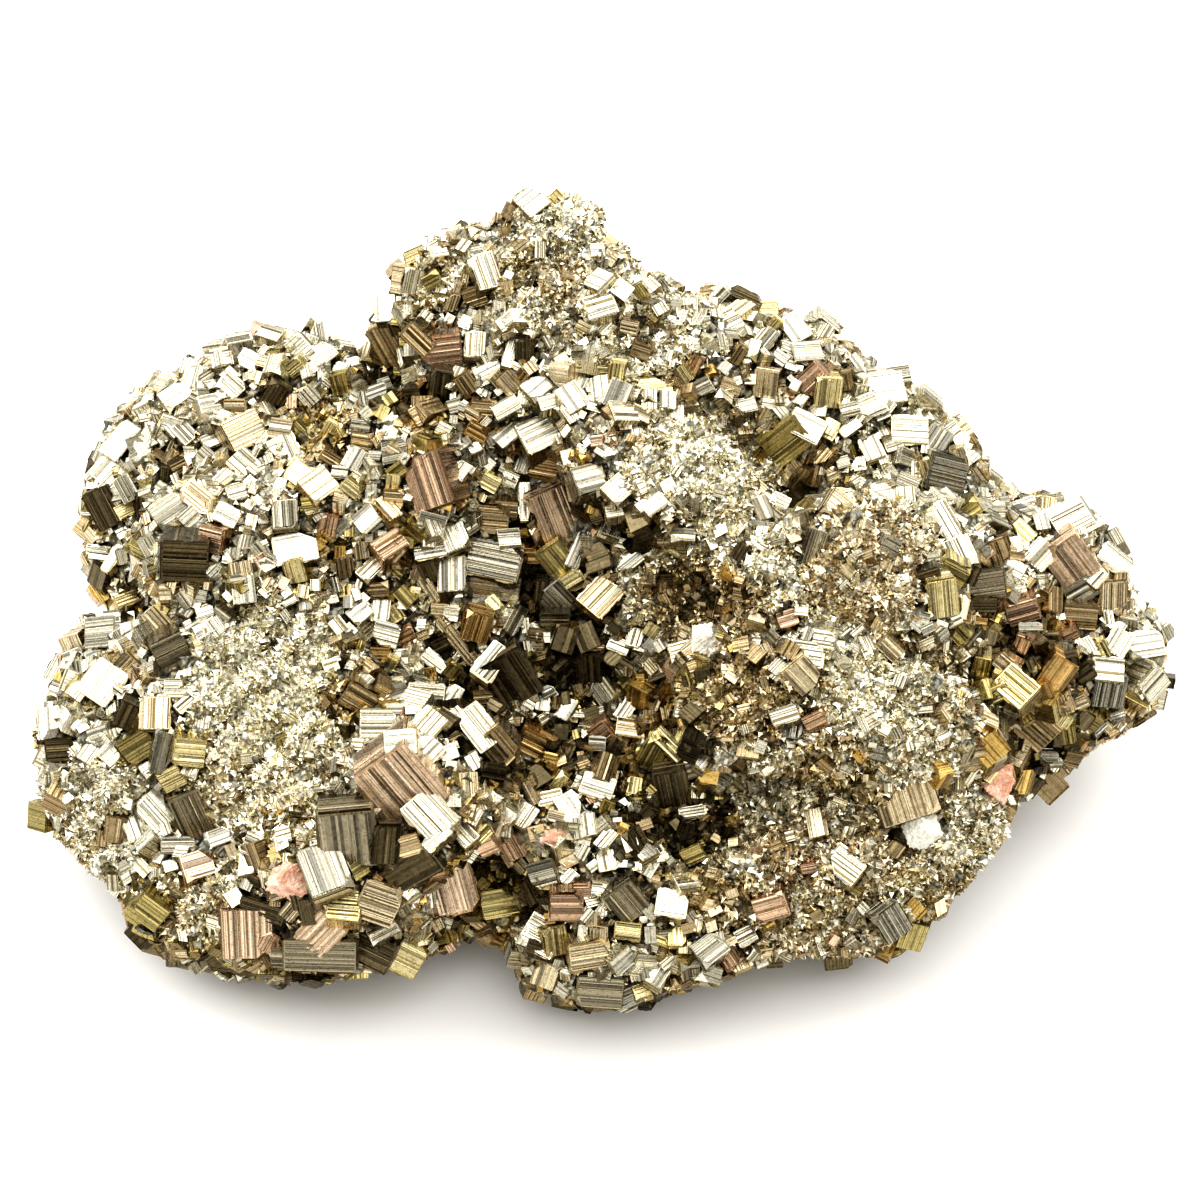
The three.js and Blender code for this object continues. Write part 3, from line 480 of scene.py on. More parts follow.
def places_of(mesh):
    return numbers_of(mesh.vertices, "co", 3) / MM


def normals_of(mesh):
    return numbers_of(mesh.vertices, "normal", 3)


def move_to(mesh, points):
    """Moves the vertices of a mesh to points in mm."""
    mesh.vertices.foreach_set("co", (points * MM).ravel())
    mesh.update()


class Skin:
    """The triangles of a mesh, in mm, for casting rays at and for scattering crystals on."""

    def __init__(self, mesh):
        mesh.calc_loop_triangles()
        self.points = places_of(mesh)
        self.corners = numbers_of(mesh.loop_triangles, "vertices", 3, np.int32)
        self.tree = BVHTree.FromPolygons(self.points.tolist(), self.corners.tolist())
        a, b, c = (self.points[self.corners[:, k]] for k in range(3))
        cross = np.cross(b - a, c - a)
        self.area = np.linalg.norm(cross, axis=1) / 2
        self.normal = cross / np.maximum(2 * self.area, 1e-9)[:, None]
        self.middle = (a + b + c) / 3

    def hit(self, start, ray):
        """Where a ray meets the skin and the normal there, or the nearest place if it passes by."""
        place, normal, _, _ = self.tree.ray_cast(Vector(start), Vector(ray))
        if place is None:
            ahead = Vector(start) + Vector(ray) * float(np.linalg.norm(np.array(start) - VIEW_TARGET))
            place, normal, _, _ = self.tree.find_nearest(ahead)
        return np.array(place), np.array(normal)

    def scatter(self, count, density):
        """Random places on the skin and their normals, closer together where density is higher."""
        weight = self.area * density
        chosen = RNG.choice(len(weight), count, p=weight / weight.sum())
        a, b = RNG.random((2, count, 1))
        a, b = np.where(a + b > 1, 1 - a, a), np.where(a + b > 1, 1 - b, b)
        p, q, r = (self.points[self.corners[chosen, k]] for k in range(3))
        return p + a * (q - p) + b * (r - p), self.normal[chosen]


class Blocks:
    """Many crystals: middles, axes (lines, across, front), sizes, colours, and depths of cut corners."""

    def __init__(self, middle, axes, size, colour, cuts=None):
        self.middle = np.asarray(middle, float)
        self.axes = np.asarray(axes, float)
        self.size = np.asarray(size, float)
        self.colour = np.asarray(colour, float)
        self.cuts = corner_cuts(self.size) if cuts is None else cuts

    def keep(self, rows):
        fields = (self.middle, self.axes, self.size, self.colour, self.cuts)
        return Blocks(*[field[rows] for field in fields])

    def lowest(self):
        return self.middle[:, 2] - (np.abs(self.axes[:, :, 2]) * self.size / 2).sum(1)

    def cover(self, points, reach, own=None, normals=None):
        """Whether each point is inside, beside or just in front of a block that isn't its own.

        Where normals are given, only points that face the same way as the block count.
        """
        inside = np.zeros(len(points), bool)
        for number, (middle, axes, size) in enumerate(zip(self.middle, self.axes, self.size)):
            local = (points - middle) @ axes.T
            beside = (np.abs(local[:, :2]) < size[:2] / 2 + reach[:, None]).all(1)
            hit = beside & (local[:, 2] > -size[2] / 2) & (local[:, 2] < size[2] / 2 + CLEAR_FRONT)
            if own is not None:
                hit &= own != number
            if normals is not None:
                hit &= normals @ axes[2] > SAME_WAY
            inside |= hit
        return inside


def corner_cuts(size):
    """How far along each edge the two cut corners of each block reach. Many are hardly cut at all."""
    count = len(size)
    share = np.where(RNG.random((count, 2)) < CUT_SHARE, RNG.uniform(*WELL_CUT, (count, 2)), HARDLY_CUT)
    return share[..., None] * RNG.uniform(*UNEVEN_CUT, (count, 2, 3)) * size[:, None]


def joined(*sets):
    fields = [(s.middle, s.axes, s.size, s.colour, s.cuts) for s in sets]
    return Blocks(*[np.concatenate(parts) for parts in zip(*fields)])


def square_axes(front, lines):
    """Three square axes from a front direction and a rough direction of the lines."""
    front = unit(front)
    lines = unit(lines - dot(lines, front)[..., None] * front)
    return np.stack([lines, np.cross(front, lines), front], axis=-2)


def seen_crystals(solid, mass):
    """The crystals made out in the view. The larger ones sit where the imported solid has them."""
    middles, axes, sizes, colours = [], [], [], []
    for (tone, usual_lean), rows in CRYSTALS.items():
        for row in rows:
            u, v, long, wide, line_angle, lean_angle = (*row, usual_lean)[:6]
            line, lean = math.radians(line_angle), math.radians(lean_angle)
            side = RIGHT * math.cos(lean) + UPWARD * math.sin(lean)
            front = TOWARD * math.cos(FACE_TILT) + side * math.sin(FACE_TILT)
            lines = RIGHT * math.cos(line) + UPWARD * math.sin(line)
            deep = (long + wide) / 2
            large = long >= SOLID_LENGTH
            place, _ = (solid if large else mass).hit(EYE, view_ray(u, v))
            rise = PROUD if large else RISE_SHARE * deep
            middles.append(place + TOWARD * rise - front * deep / 2)
            axes.append(square_axes(front, lines))
            sizes.append((long, wide, deep))
            colours.append(TONES[tone])
    return Blocks(middles, axes, sizes, colours)


def back_crystals(solid):
    """The large crystals of the hidden sides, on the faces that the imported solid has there."""
    golden = math.pi * (3 - math.sqrt(5))
    middles, axes, sizes, fronts = [], [], [], []
    for i in range(BACK_CRYSTALS):
        rise = BACK_LOWEST_RISE + BACK_RISE_SPAN * (i + 0.5) / BACK_CRYSTALS
        flat = math.sqrt(1 - rise * rise)
        outward = np.array([math.cos(i * golden) * flat, math.sin(i * golden) * flat, rise])
        place, front = solid.hit(BACK_CENTRE + outward * BACK_REACH, -outward)
        if front @ TOWARD > SEEN or place[2] < BACK_LEAST_HEIGHT:
            continue
        size = BACK_SMALLEST + (BACK_LARGEST - BACK_SMALLEST) * repeatable(i, 1) ** 2
        wide = size * (BACK_LEAST_WIDTH + (1 - BACK_LEAST_WIDTH) * repeatable(i, 2))
        lines = np.array([repeatable(i, k) for k in (6, 7, 8)]) - 0.5
        middles.append(place + front * (PROUD - size / 2))
        axes.append(square_axes(front, lines))
        sizes.append((size, wide, size))
        fronts.append(front)
    colours = pick_tones(np.array(middles), np.array(fronts))
    return Blocks(middles, axes, sizes, colours)


def side_growths(blocks, share):
    """Smaller blocks grown parallel to some of the crystals, which step their corners and edges."""
    rows = np.flatnonzero(RNG.random(len(blocks.middle)) < share)
    host = blocks.keep(rows)
    size = host.size * RNG.uniform(*GROWTH_SIZE, host.size.shape)
    shift = host.size * RNG.uniform(*GROWTH_SHIFT, size.shape) * RNG.choice([-1, 1], size.shape)
    shift[:, 2] = (host.size - size)[:, 2] / 2 - host.size[:, 2] * RNG.uniform(*GROWTH_STEP, len(rows))
    middle = host.middle + np.einsum("nk,nkj->nj", shift, host.axes)
    growths = Blocks(middle, host.axes, size, host.colour * RNG.uniform(*GROWTH_LIGHT, (len(rows), 1)))
    return growths.keep(~blocks.cover(middle, size.min(1) / 2, rows))


def scattered_crystals(skin, density, taken, count, smallest, largest, tilt, flatness=0.66, variety=1.0):
    """Crystals of one size class strewn over the skin, off the crystals already there."""
    points, normals = skin.scatter(count, density)
    long = smallest + (largest - smallest) * RNG.random(count) ** LENGTH_POWER
    size = long[:, None] * RNG.uniform([1, LEAST_WIDTH, flatness], [1, 1, 1], (count, 3))
    front = normals + tilt * RNG.normal(size=(count, 3))
    axes = square_axes(front, RNG.normal(size=(count, 3)))
    middle = points + normals * (long * RNG.uniform(*SUNK_OR_RAISED, count))[:, None]
    blocks = Blocks(middle, axes, size, pick_tones(points, normals, variety))
    return blocks.keep(~taken.cover(middle, STREWN_GAP * long) & (blocks.lowest() > STREWN_LEAST_HEIGHT))


# The six faces of a block: the axis that each one faces along and its sign. The growth lines on
# faces of one pair run square to those on the next pair, as they do on pyrite.
FACES = [(2, 1), (2, -1), (0, 1), (0, -1), (1, 1), (1, -1)]
FRONT = FACES[0]
SIDES = FACES[2:]
CUT_CORNERS = [(1, 1, 1), (-1, -1, 1)]


def painted_steep_shade(colour, outward):
    """The colour of a face, with painted shade: faces that look up keep their colour, and steep ones are
    darker and warmer.
    """
    unshaded = fade(-0.1, 0.5, outward[..., 2])[..., None]
    return colour * (unshaded + (1 - unshaded) * STEEP_SHADE_TINT)


def line_highlight_and_shade(shape):
    """How light each line on a face is against the whole face, as painted highlight and shade: some dark,
    most near 1, a few bright.
    """
    return np.interp(RNG.random(shape), [0, 0.26, 0.32, 0.8, 0.86, 1], [0.3, 0.55, 0.85, 1.12, 1.3, 1.8])


def line_places(across, count):
    """Places across the growth lines, stretched and shifted so that no two crystals have the same lines."""
    return across * RNG.uniform(0.7, 1.5, (count, 1)) + RNG.uniform(0, 500, (count, 1))


def striation_share(count):
    """How strongly each crystal is lined, from 0 to 1. A few are nearly smooth."""
    mean, variation, least = LINED
    return np.clip(RNG.normal(mean, variation, count), least, 1)


class Faces:
    """Faces with the same number of corners: point numbers, a colour a face, line coordinates."""

    def __init__(self, corners, colour, lined, striae):
        self.corners = corners.reshape(-1, corners.shape[-1])
        lined = np.broadcast_to(lined[..., None], (*colour.shape[:-1], 1))
        self.tint = np.concatenate([colour, lined], axis=-1).reshape(-1, 4)
        self.striae = striae.reshape(-1, 2)


class Solids:
    """The points of many closed solids, and their groups of faces."""

    def __init__(self, points, groups):
        self.points = points.reshape(-1, 3)
        self.groups = groups


def face_ring(axis, sign, spots):
    """The point numbers round a face of a block, in order, with two where a corner is cut."""
    along, aside = (axis + 1) % 3, (axis + 2) % 3
    ring = []
    for turn, (a, b) in enumerate([(-1, -1), (1, -1), (1, 1), (-1, 1)]):
        place = {axis: sign, along: a, aside: b}
        corner = (place[0], place[1], place[2])
        ways = (along, aside) if turn % 2 else (aside, along)
        ring += [spots[corner, way] for way in ways if (corner, way) in spots] or [spots[corner, None]]
    return ring[::sign]


def block_solids(blocks, cut_corners=()):
    """The flat faces of each block, with some of its corners cut off."""
    count = len(blocks.middle)
    spots, offsets = {}, []
    for corner in itertools.product((-1, 1), repeat=3):
        for way in range(3) if corner in cut_corners else (None,):
            spots[corner, way] = len(offsets)
            offset = np.array(corner) * blocks.size / 2
            if way is not None:
                offset[:, way] -= corner[way] * blocks.cuts[:, cut_corners.index(corner), way]
            offsets.append(offset)
    offsets = np.stack(offsets, axis=1)
    points = blocks.middle[:, None] + np.einsum("npk,nkj->npj", offsets, blocks.axes)
    first = len(spots) * np.arange(count)[:, None]
    lined = striation_share(count)
    groups = []
    for axis, sign in FACES:
        local = offsets[:, face_ring(axis, sign, spots)]
        across = line_places(local[..., (axis + 2) % 3], count)
        striae = np.stack([across, local[..., (axis + 1) % 3]], axis=-1)
        # Painted shade: steep faces darker and warmer.
        colour = painted_steep_shade(blocks.colour, sign * blocks.axes[:, axis]) * RNG.uniform(*FACE_LIGHT, (count, 1))
        groups.append(Faces(first + face_ring(axis, sign, spots), colour, lined, striae))
    for corner in cut_corners:
        row = [spots[corner, way] for way in range(3)]
        # Painted shade on the cut corner, as on steep faces.
        colour = painted_steep_shade(blocks.colour, unit(np.einsum("k,nkj->nj", corner, blocks.axes))) * 0.9
        groups.append(Faces(first + row, colour, 0.3 * lined, offsets[:, row, :2]))
    return Solids(points, groups)


def shard_solids(blocks):
    """A rough corner of a cube in place of each block: three flat faces that meet at a point."""
    count = len(blocks.middle)
    angle = 2 * math.pi / 3 * np.arange(3) + RNG.uniform(*SHARD_TURN, (count, 3))
    radius = blocks.size[:, :1] / 2 * RNG.uniform(*SHARD_REACH, (count, 3))
    spread = np.stack([np.cos(angle) * radius, np.sin(angle) * radius], axis=-1)
    base = blocks.middle[:, None] + np.einsum("npk,nkj->npj", spread, blocks.axes[:, :2])
    front = blocks.axes[:, 2] * blocks.size[:, 2:]
    lean = blocks.axes[:, 0] * blocks.size[:, :1] * RNG.uniform(*SHARD_LEAN, (count, 1))
    tip = blocks.middle + front + lean
    points = np.concatenate([base - SHARD_ROOT * front[:, None], tip[:, None]], axis=1)
    first = 4 * np.arange(count)[:, None]
    groups = []
    for row in ([0, 1, 3], [1, 2, 3], [2, 0, 3], [2, 1, 0]):
        a, b, c = (points[:, k] for k in row)
        # Painted shade: steep faces darker and warmer.
        colour = painted_steep_shade(blocks.colour, unit(np.cross(b - a, c - a))) * RNG.uniform(*FACE_LIGHT, (count, 1))
        groups.append(Faces(first + row, colour, np.zeros(count), np.zeros((count, 3, 2))))
    return Solids(points, groups)


def line_profile(count, steps, width, pitch_height):
    """Places and heights across a lined face: flat bands with narrow slopes up and down between."""
    bands = RNG.gamma(*BAND_WIDTH, (count, steps))
    bands[:, 1::2] *= SLOPE_WIDTH
    bands /= bands.sum(1, keepdims=True)
    bands *= width[:, None]
    heights = np.zeros((count, steps + 1))
    for k in range(steps):
        climb = RNG.uniform(*LINE_SLOPE, count) * bands[:, k] if k % 2 else 0.0
        up = np.where(heights[:, k] > RNG.uniform(0, 1, count) * pitch_height, -1, 1)
        heights[:, k + 1] = heights[:, k] + up * climb
    places = np.concatenate([np.zeros((count, 1)), bands.cumsum(1)], axis=1) - width[:, None] / 2
    return places, heights - heights.min(1, keepdims=True) + LEAST_LIFT


def plate_reach(blocks, face, end, across, length):
    """How far a plate on a face reaches towards one end, at places across it, past any cut corner."""
    axis, sign = face
    along, aside = (axis + 1) % 3, (axis + 2) % 3
    reach = np.repeat(length[:, None], across.shape[1], axis=1)
    for number, corner in enumerate(CUT_CORNERS):
        if corner[axis] == sign and corner[along] == end:
            cut = blocks.cuts[:, number]
            start = blocks.size[:, aside] / 2 - cut[:, aside]
            share = (sign * corner[aside] * across - start[:, None]) / cut[:, aside, None]
            reach -= np.clip(share, 0, 1) * cut[:, along, None]
    return reach


def lined_solids(blocks, face, steps):
    """A low stepped plate on one face of each block: the growth lines as real relief."""
    axis, sign = face
    along, aside = (axis + 1) % 3, (axis + 2) % 3
    count = len(blocks.middle)
    lines, across, outward = blocks.axes[:, along], sign * blocks.axes[:, aside], sign * blocks.axes[:, axis]
    middle = blocks.middle + outward * blocks.size[:, axis, None] / 2
    length = blocks.size[:, along] / 2 * RNG.uniform(*PLATE_ALONG, count)
    width = blocks.size[:, aside] * RNG.uniform(*PLATE_ACROSS, count)
    places, heights = line_profile(count, steps, width, LINE_HEIGHT * np.minimum(width, LINED_WIDTH))
    root = -ROOT * np.minimum(width, 1)[:, None]
    ring_across = np.concatenate([places, places[:, -1:], places[:, :1]], axis=1)
    ring_height = np.concatenate([heights, root, root], axis=1)
    ring = ring_across[..., None] * across[:, None] + ring_height[..., None] * outward[:, None]
    reaches = [end * plate_reach(blocks, face, end, ring_across, length) for end in (-1, 1)]
    points = [middle[:, None] + ring + reach[..., None] * lines[:, None] for reach in reaches]
    rim = steps + 3
    first = 2 * rim * np.arange(count)[:, None, None]
    here = np.arange(rim)
    following = (here + 1) % rim
    sides = np.stack([here, here + rim, following + rim, following], axis=-1)
    ends = np.stack([here, here[::-1] + rim])
    here_across = line_places(ring_across, count)
    next_across = here_across[:, following]
    strip = np.stack([here_across, here_across, next_across, next_across], axis=-1)
    strip_along = np.stack([-length, length, length, -length], axis=-1)[:, None] + 0 * strip
    lined = striation_share(count)[:, None]
    # Painted shade: steep faces darker and warmer.
    colour = painted_steep_shade(blocks.colour, outward)[:, None]
    # Painted highlight and shade on each line, kept below white.
    brightest = 0.95 / colour.max(-1, keepdims=True)
    colour = colour * np.minimum(line_highlight_and_shade((count, rim, 1)), brightest)
    end_striae = np.zeros((count, 2, rim, 2))
    groups = [
        Faces(first + sides, colour, lined, np.stack([strip, strip_along], axis=-1)),
        Faces(first + ends, 0.8 * colour[:, :2], 0 * lined, end_striae),
    ]
    return Solids(np.stack(points, axis=1), groups)


def bake_map(mesh):
    """A texture map with a cell of its own for each face."""
    totals = numbers_of(mesh.polygons, "loop_total", 1, np.int32)[:, 0]
    cells = math.ceil(math.sqrt(len(totals)))
    face = np.repeat(np.arange(len(totals)), totals)
    turn = np.arange(len(face)) - np.repeat(np.cumsum(totals) - totals, totals)
    angle = 2 * math.pi * (turn + 0.5) / totals[face]
    u = (face % cells + 0.5 + 0.46 * np.cos(angle)) / cells
    v = (face // cells + 0.5 + 0.46 * np.sin(angle)) / cells
    mesh.uv_layers.new(name="OFBake").data.foreach_set("uv", np.stack([u, v], axis=1).ravel())


def mesh_from(name, solids):
    """One Blender mesh from many solids, with their colours and line coordinates."""
    points = np.concatenate([part.points for part in solids])
    faces, corners, first = [], [], 0
    for part in solids:
        faces += part.groups
        corners += [(group.corners + first).ravel() for group in part.groups]
        first += len(part.points)
    corners = np.concatenate(corners).astype(np.int32)
    totals = np.concatenate([np.full(len(group.corners), group.corners.shape[1]) for group in faces])
    mesh = bpy.data.meshes.new(name)
    mesh.vertices.add(len(points))
    mesh.vertices.foreach_set("co", (points * MM).ravel())
    mesh.loops.add(len(corners))
    mesh.loops.foreach_set("vertex_index", corners)
    mesh.polygons.add(len(totals))
    mesh.polygons.foreach_set("loop_start", (np.cumsum(totals) - totals).astype(np.int32))
    mesh.update(calc_edges=True)
    tint = mesh.attributes.new("tint", "FLOAT_COLOR", "FACE")
    tint.data.foreach_set("color", np.concatenate([group.tint for group in faces]).ravel())
    striae = np.concatenate([group.striae for group in faces])
    mesh.uv_layers.new(name="striae").data.foreach_set("uv", striae.ravel())
    mesh.shade_flat()
    bake_map(mesh)
    return mesh


def add_object(name, data):
    """A new object in the scene."""
    thing = bpy.data.objects.new(name, data)
    bpy.context.scene.collection.objects.link(thing)
    return thing


def add_piece(name, mesh, material, node):
    """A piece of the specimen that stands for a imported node."""
    piece = add_object(name, mesh)
    mesh.materials.clear()
    mesh.materials.append(material)
    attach(piece, "root")
    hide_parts(node)


def modified_mesh(name, source, modifiers):
    """A copy of a mesh with modifiers applied. Each one is a type and its settings."""
    shaped = add_object(name, source.copy())
    for kind, settings in modifiers:
        modifier = shaped.modifiers.new(kind, kind)
        for key, value in settings.items():
            setattr(modifier, key, value)
    shown = shaped.evaluated_get(bpy.context.evaluated_depsgraph_get())
    mesh = bpy.data.meshes.new_from_object(shown)
    mesh.name = name
    bpy.data.objects.remove(shaped)
    return mesh


def mass_mesh(node):
    """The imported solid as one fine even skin, smoothed, with low swells where the crust is fine."""
    skin = ("REMESH", {"mode": "VOXEL", "voxel_size": MASS_VOXEL * MM})
    soft = ("SMOOTH", {"factor": 0.5, "iterations": 16})
    mesh = modified_mesh("pyrite_mass", node.data, [skin, soft])
    points, normals = places_of(mesh), normals_of(mesh)
    swell = waves(points, 9, 2.1) + 0.6 * waves(points, 4.3, 0.9) - 0.8
    swell *= SWELL * fineness(points, normals) * fade(-0.5, -0.1, normals[:, 2])
    move_to(mesh, points + normals * swell[:, None])
    return mesh


def break_into_facets(mesh, skin, large):
    """Turns the smooth mass into flat facets at many angles, and gives each one a tone, darkened with painted
    shade where its crystals are coarse and on steep facets.
    """
    count = int(skin.area.sum() / FACET_SPACING ** 2)
    seeds, seed_normals = skin.scatter(count, np.ones(len(skin.area)))
    tree = KDTree(count)
    for i, seed in enumerate(seeds):
        tree.insert(Vector(seed), i)
    tree.balance()
    points, normals = places_of(mesh), normals_of(mesh)
    nearest = np.array([tree.find(Vector(point))[1] for point in points])
    slopes = RNG.normal(0, FACET_SLOPE, (count, 3))
    lifts = RNG.uniform(*FACET_LIFT, count)
    height = dot(points - seeds[nearest], slopes[nearest]) + lifts[nearest]
    under = fade(-0.5, -0.85, normals[:, 2])
    points += normals * (np.clip(height, *FACET_REACH) * (1 - 0.75 * under))[:, None]
    buried = large.cover(points, np.full(len(points), SINK_REACH), normals=normals)
    points[buried] -= SINK * normals[buried]
    points[:, 2] = np.maximum(points[:, 2], 0)
    points[(under > 0.5) & (points[:, 2] < FLAT_BELOW), 2] = 0
    move_to(mesh, points)
    mesh.shade_flat()
    # Painted shade: the mass shows darker between coarse crystals than under the fine crust.
    light = 0.42 + 0.5 * fineness(seeds, seed_normals)[:, None]
    # Painted shade on steep facets.
    colours = painted_steep_shade(pick_tones(seeds, seed_normals), seed_normals) * light
    tint = mesh.attributes.new("tint", "FLOAT_COLOR", "POINT")
    rows = np.concatenate([colours[nearest], np.full((len(points), 1), 0.4)], axis=1)
    tint.data.foreach_set("color", rows.ravel())


class Nodes:
    """Short ways to add and link the shader nodes of one material."""

    def __init__(self, name):
        self.material = bpy.data.materials.new(name)
        self.material.use_nodes = True
        self.tree = self.material.node_tree
        self.tree.nodes.clear()

    def add(self, kind, settings=None, **inputs):
        node = self.tree.nodes.new(kind)
        for key, value in (settings or {}).items():
            setattr(node, key, value)
        for key, value in inputs.items():
            self.feed(node.inputs[key.replace("_", " ")], value)
        return node

    def feed(self, socket, value):
        """Links a socket to another, or sets it to a number, vector or colour."""
        if isinstance(value, bpy.types.NodeSocket):
            self.tree.links.new(value, socket)
        else:
            socket.default_value = (*value, 1) if socket.type == "RGBA" else value

    @functools.cached_property
    def place(self):
        """Where a point of the surface is, in metres."""
        return self.add("ShaderNodeTexCoord").outputs["Object"]

    @functools.cached_property
    def tint(self):
        """The colour kept in the mesh, with how strongly the face is lined as its alpha."""
        return self.add("ShaderNodeAttribute", {"attribute_name": "tint"}).outputs

    def math(self, operation, *values, kind="ShaderNodeMath"):
        node = self.add(kind, {"operation": operation})
        for socket, value in zip(node.inputs, values):
            self.feed(socket, value)
        return node.outputs[0]

    def vector_math(self, operation, *values):
        return self.math(operation, *values, kind="ShaderNodeVectorMath")

    def spread(self, value, low, high, to_low, to_high):
        """Maps a value from one range to another, clamped at its ends."""
        node = self.add("ShaderNodeMapRange", {"interpolation_type": "SMOOTHSTEP"}, Value=value)
        for socket, number in zip(node.inputs[1:], (low, high, to_low, to_high)):
            self.feed(socket, number)
        return node.outputs[0]

    def scaled(self, colour, factor):
        """A colour made lighter or darker by a factor."""
        node = self.add("ShaderNodeVectorMath", {"operation": "SCALE"}, Vector=colour, Scale=factor)
        return node.outputs[0]

    def blended(self, factor, a, b):
        node = self.add("ShaderNodeMix", {"data_type": "RGBA"})
        for number, value in ((0, factor), (6, a), (7, b)):
            self.feed(node.inputs[number], value)
        return node.outputs[2]

    def noise(self, scale, detail):
        inputs = {"Vector": self.place, "Scale": scale, "Detail": detail, "Roughness": 0.6}
        return self.add("ShaderNodeTexNoise", **inputs).outputs[0]

    def relief(self, height, strength, depth):
        """The surface's normal, as if it rose by height times a depth in mm."""
        inputs = {"Strength": strength, "Distance": depth * MM, "Height": height}
        return self.add("ShaderNodeBump", **inputs).outputs[0]

    def finish(self, kind="ShaderNodeBsdfPrincipled", **inputs):
        """The material, with one shader as its surface."""
        shader = self.add(kind, **inputs)
        self.add("ShaderNodeOutputMaterial", Surface=shader.outputs[0])
        return self.material


def tarnished(nodes, colour):
    """Thin uneven tarnish and grime over a pyrite colour."""
    film = nodes.spread(nodes.noise(scale=900, detail=2), 0.52, 0.72, 0, 0.55)
    warmed = nodes.blended(film, colour, nodes.blended(film, colour, (0.30, 0.22, 0.12)))
    specks = nodes.spread(nodes.noise(scale=3800, detail=1), 0.30, 0.42, 0.55, 1)
    return nodes.scaled(warmed, specks)


def line_pattern(nodes, across, scale, detail, low, high):
    """Stripes across the growth lines: 0 in a groove and 1 on a band."""
    inputs = {"W": across, "Scale": scale, "Detail": detail}
    noise = nodes.add("ShaderNodeTexNoise", {"noise_dimensions": "1D"}, **inputs)
    return nodes.spread(noise.outputs[0], low, high, 0, 1)


def groove_shade(nodes, lines, depth):
    """How light a stripe is: 1 on a band, and darker with painted shade in a groove on a strongly lined face.
    """
    dark = nodes.math("MULTIPLY", nodes.tint["Alpha"], nodes.spread(lines, 0, 1, depth, 0))
    return nodes.math("SUBTRACT", 1, dark)


def crystal_material():
    """Bright metal with fine growth lines that follow each face, their grooves darkened with painted shade.
    """
    nodes = Nodes("pyrite_crystal")
    striae = nodes.add("ShaderNodeUVMap", {"uv_map": "striae"})
    across = nodes.add("ShaderNodeSeparateXYZ", Vector=striae.outputs[0]).outputs[0]
    bands = line_pattern(nodes, across, 3.2, 1.5, 0.42, 0.47)
    hairs = line_pattern(nodes, across, 8, 1, 0.40, 0.50)
    shade = nodes.math("MULTIPLY", groove_shade(nodes, bands, 1), groove_shade(nodes, hairs, 0.75))
    # The painted shade of a groove: the face's colour, darker and warmer.
    groove = nodes.vector_math("MULTIPLY", nodes.tint["Color"], (0.24, 0.19, 0.10))
    height = nodes.math("ADD", bands, nodes.math("MULTIPLY", hairs, 0.4))
    return nodes.finish(
        Base_Color=tarnished(nodes, nodes.blended(shade, groove, nodes.tint["Color"])),
        Roughness=nodes.spread(nodes.noise(scale=1300, detail=1), 0.3, 0.7, 0.16, 0.36),
        Metallic=1,
        Normal=nodes.relief(nodes.math("MULTIPLY", height, nodes.tint["Alpha"]), strength=0.6, depth=0.06),
    )


def crust_material():
    """Bright broken metal with thin tarnish, for cube corners too small to show growth lines."""
    nodes = Nodes("pyrite_crust")
    return nodes.finish(
        Base_Color=tarnished(nodes, nodes.tint["Color"]),
        Roughness=nodes.spread(nodes.noise(scale=1300, detail=1), 0.3, 0.7, 0.2, 0.42),
        Metallic=1,
    )


def mass_material():
    """The crust between the crystals: tiny facets that glint at many angles, with painted shade in the gaps
    between them.
    """
    nodes = Nodes("pyrite_mass")
    grains = nodes.add("ShaderNodeTexVoronoi", Vector=nodes.place, Scale=1500, Randomness=1).outputs
    split = nodes.add("ShaderNodeSeparateXYZ", Vector=grains["Color"]).outputs
    # Painted shade in the gaps between grains.
    gap_shade = nodes.spread(grains["Distance"], 0.4, 0.75, 1, 0.35)
    grain_shade = nodes.spread(split[0], 0, 1, 0.45, 1.25)
    colour = nodes.scaled(nodes.tint["Color"], nodes.math("MULTIPLY", gap_shade, grain_shade))
    centred = nodes.vector_math("SUBTRACT", grains["Color"], (0.5, 0.5, 0.5))
    normal = nodes.add("ShaderNodeNewGeometry").outputs["Normal"]
    tilted = nodes.vector_math("MULTIPLY_ADD", centred, (0.8, 0.8, 0.8), normal)
    return nodes.finish(
        Base_Color=tarnished(nodes, colour),
        Roughness=nodes.spread(split[1], 0, 1, 0.34, 0.55),
        Metallic=1,
        Normal=nodes.vector_math("NORMALIZE", tilted),
    )


def carbonate_material():
    """Dull pink-orange carbonate with paler patches, dark specks and fine relief."""
    nodes = Nodes("pink_carbonate")
    patches = nodes.spread(nodes.noise(scale=700, detail=3), 0.38, 0.64, 0, 1)
    colour = nodes.blended(patches, (0.60, 0.30, 0.19), (0.78, 0.55, 0.43))
    specks = nodes.spread(nodes.noise(scale=4200, detail=2), 0.30, 0.45, 0.6, 1)
    return nodes.finish(
        Base_Color=nodes.scaled(colour, specks),
        Roughness=nodes.spread(patches, 0, 1, 0.6, 0.42),
        Normal=nodes.relief(nodes.noise(scale=2600, detail=4), strength=0.6, depth=0.1),
        Subsurface_Weight=0.15,
        Subsurface_Scale=0.6 * MM,
    )


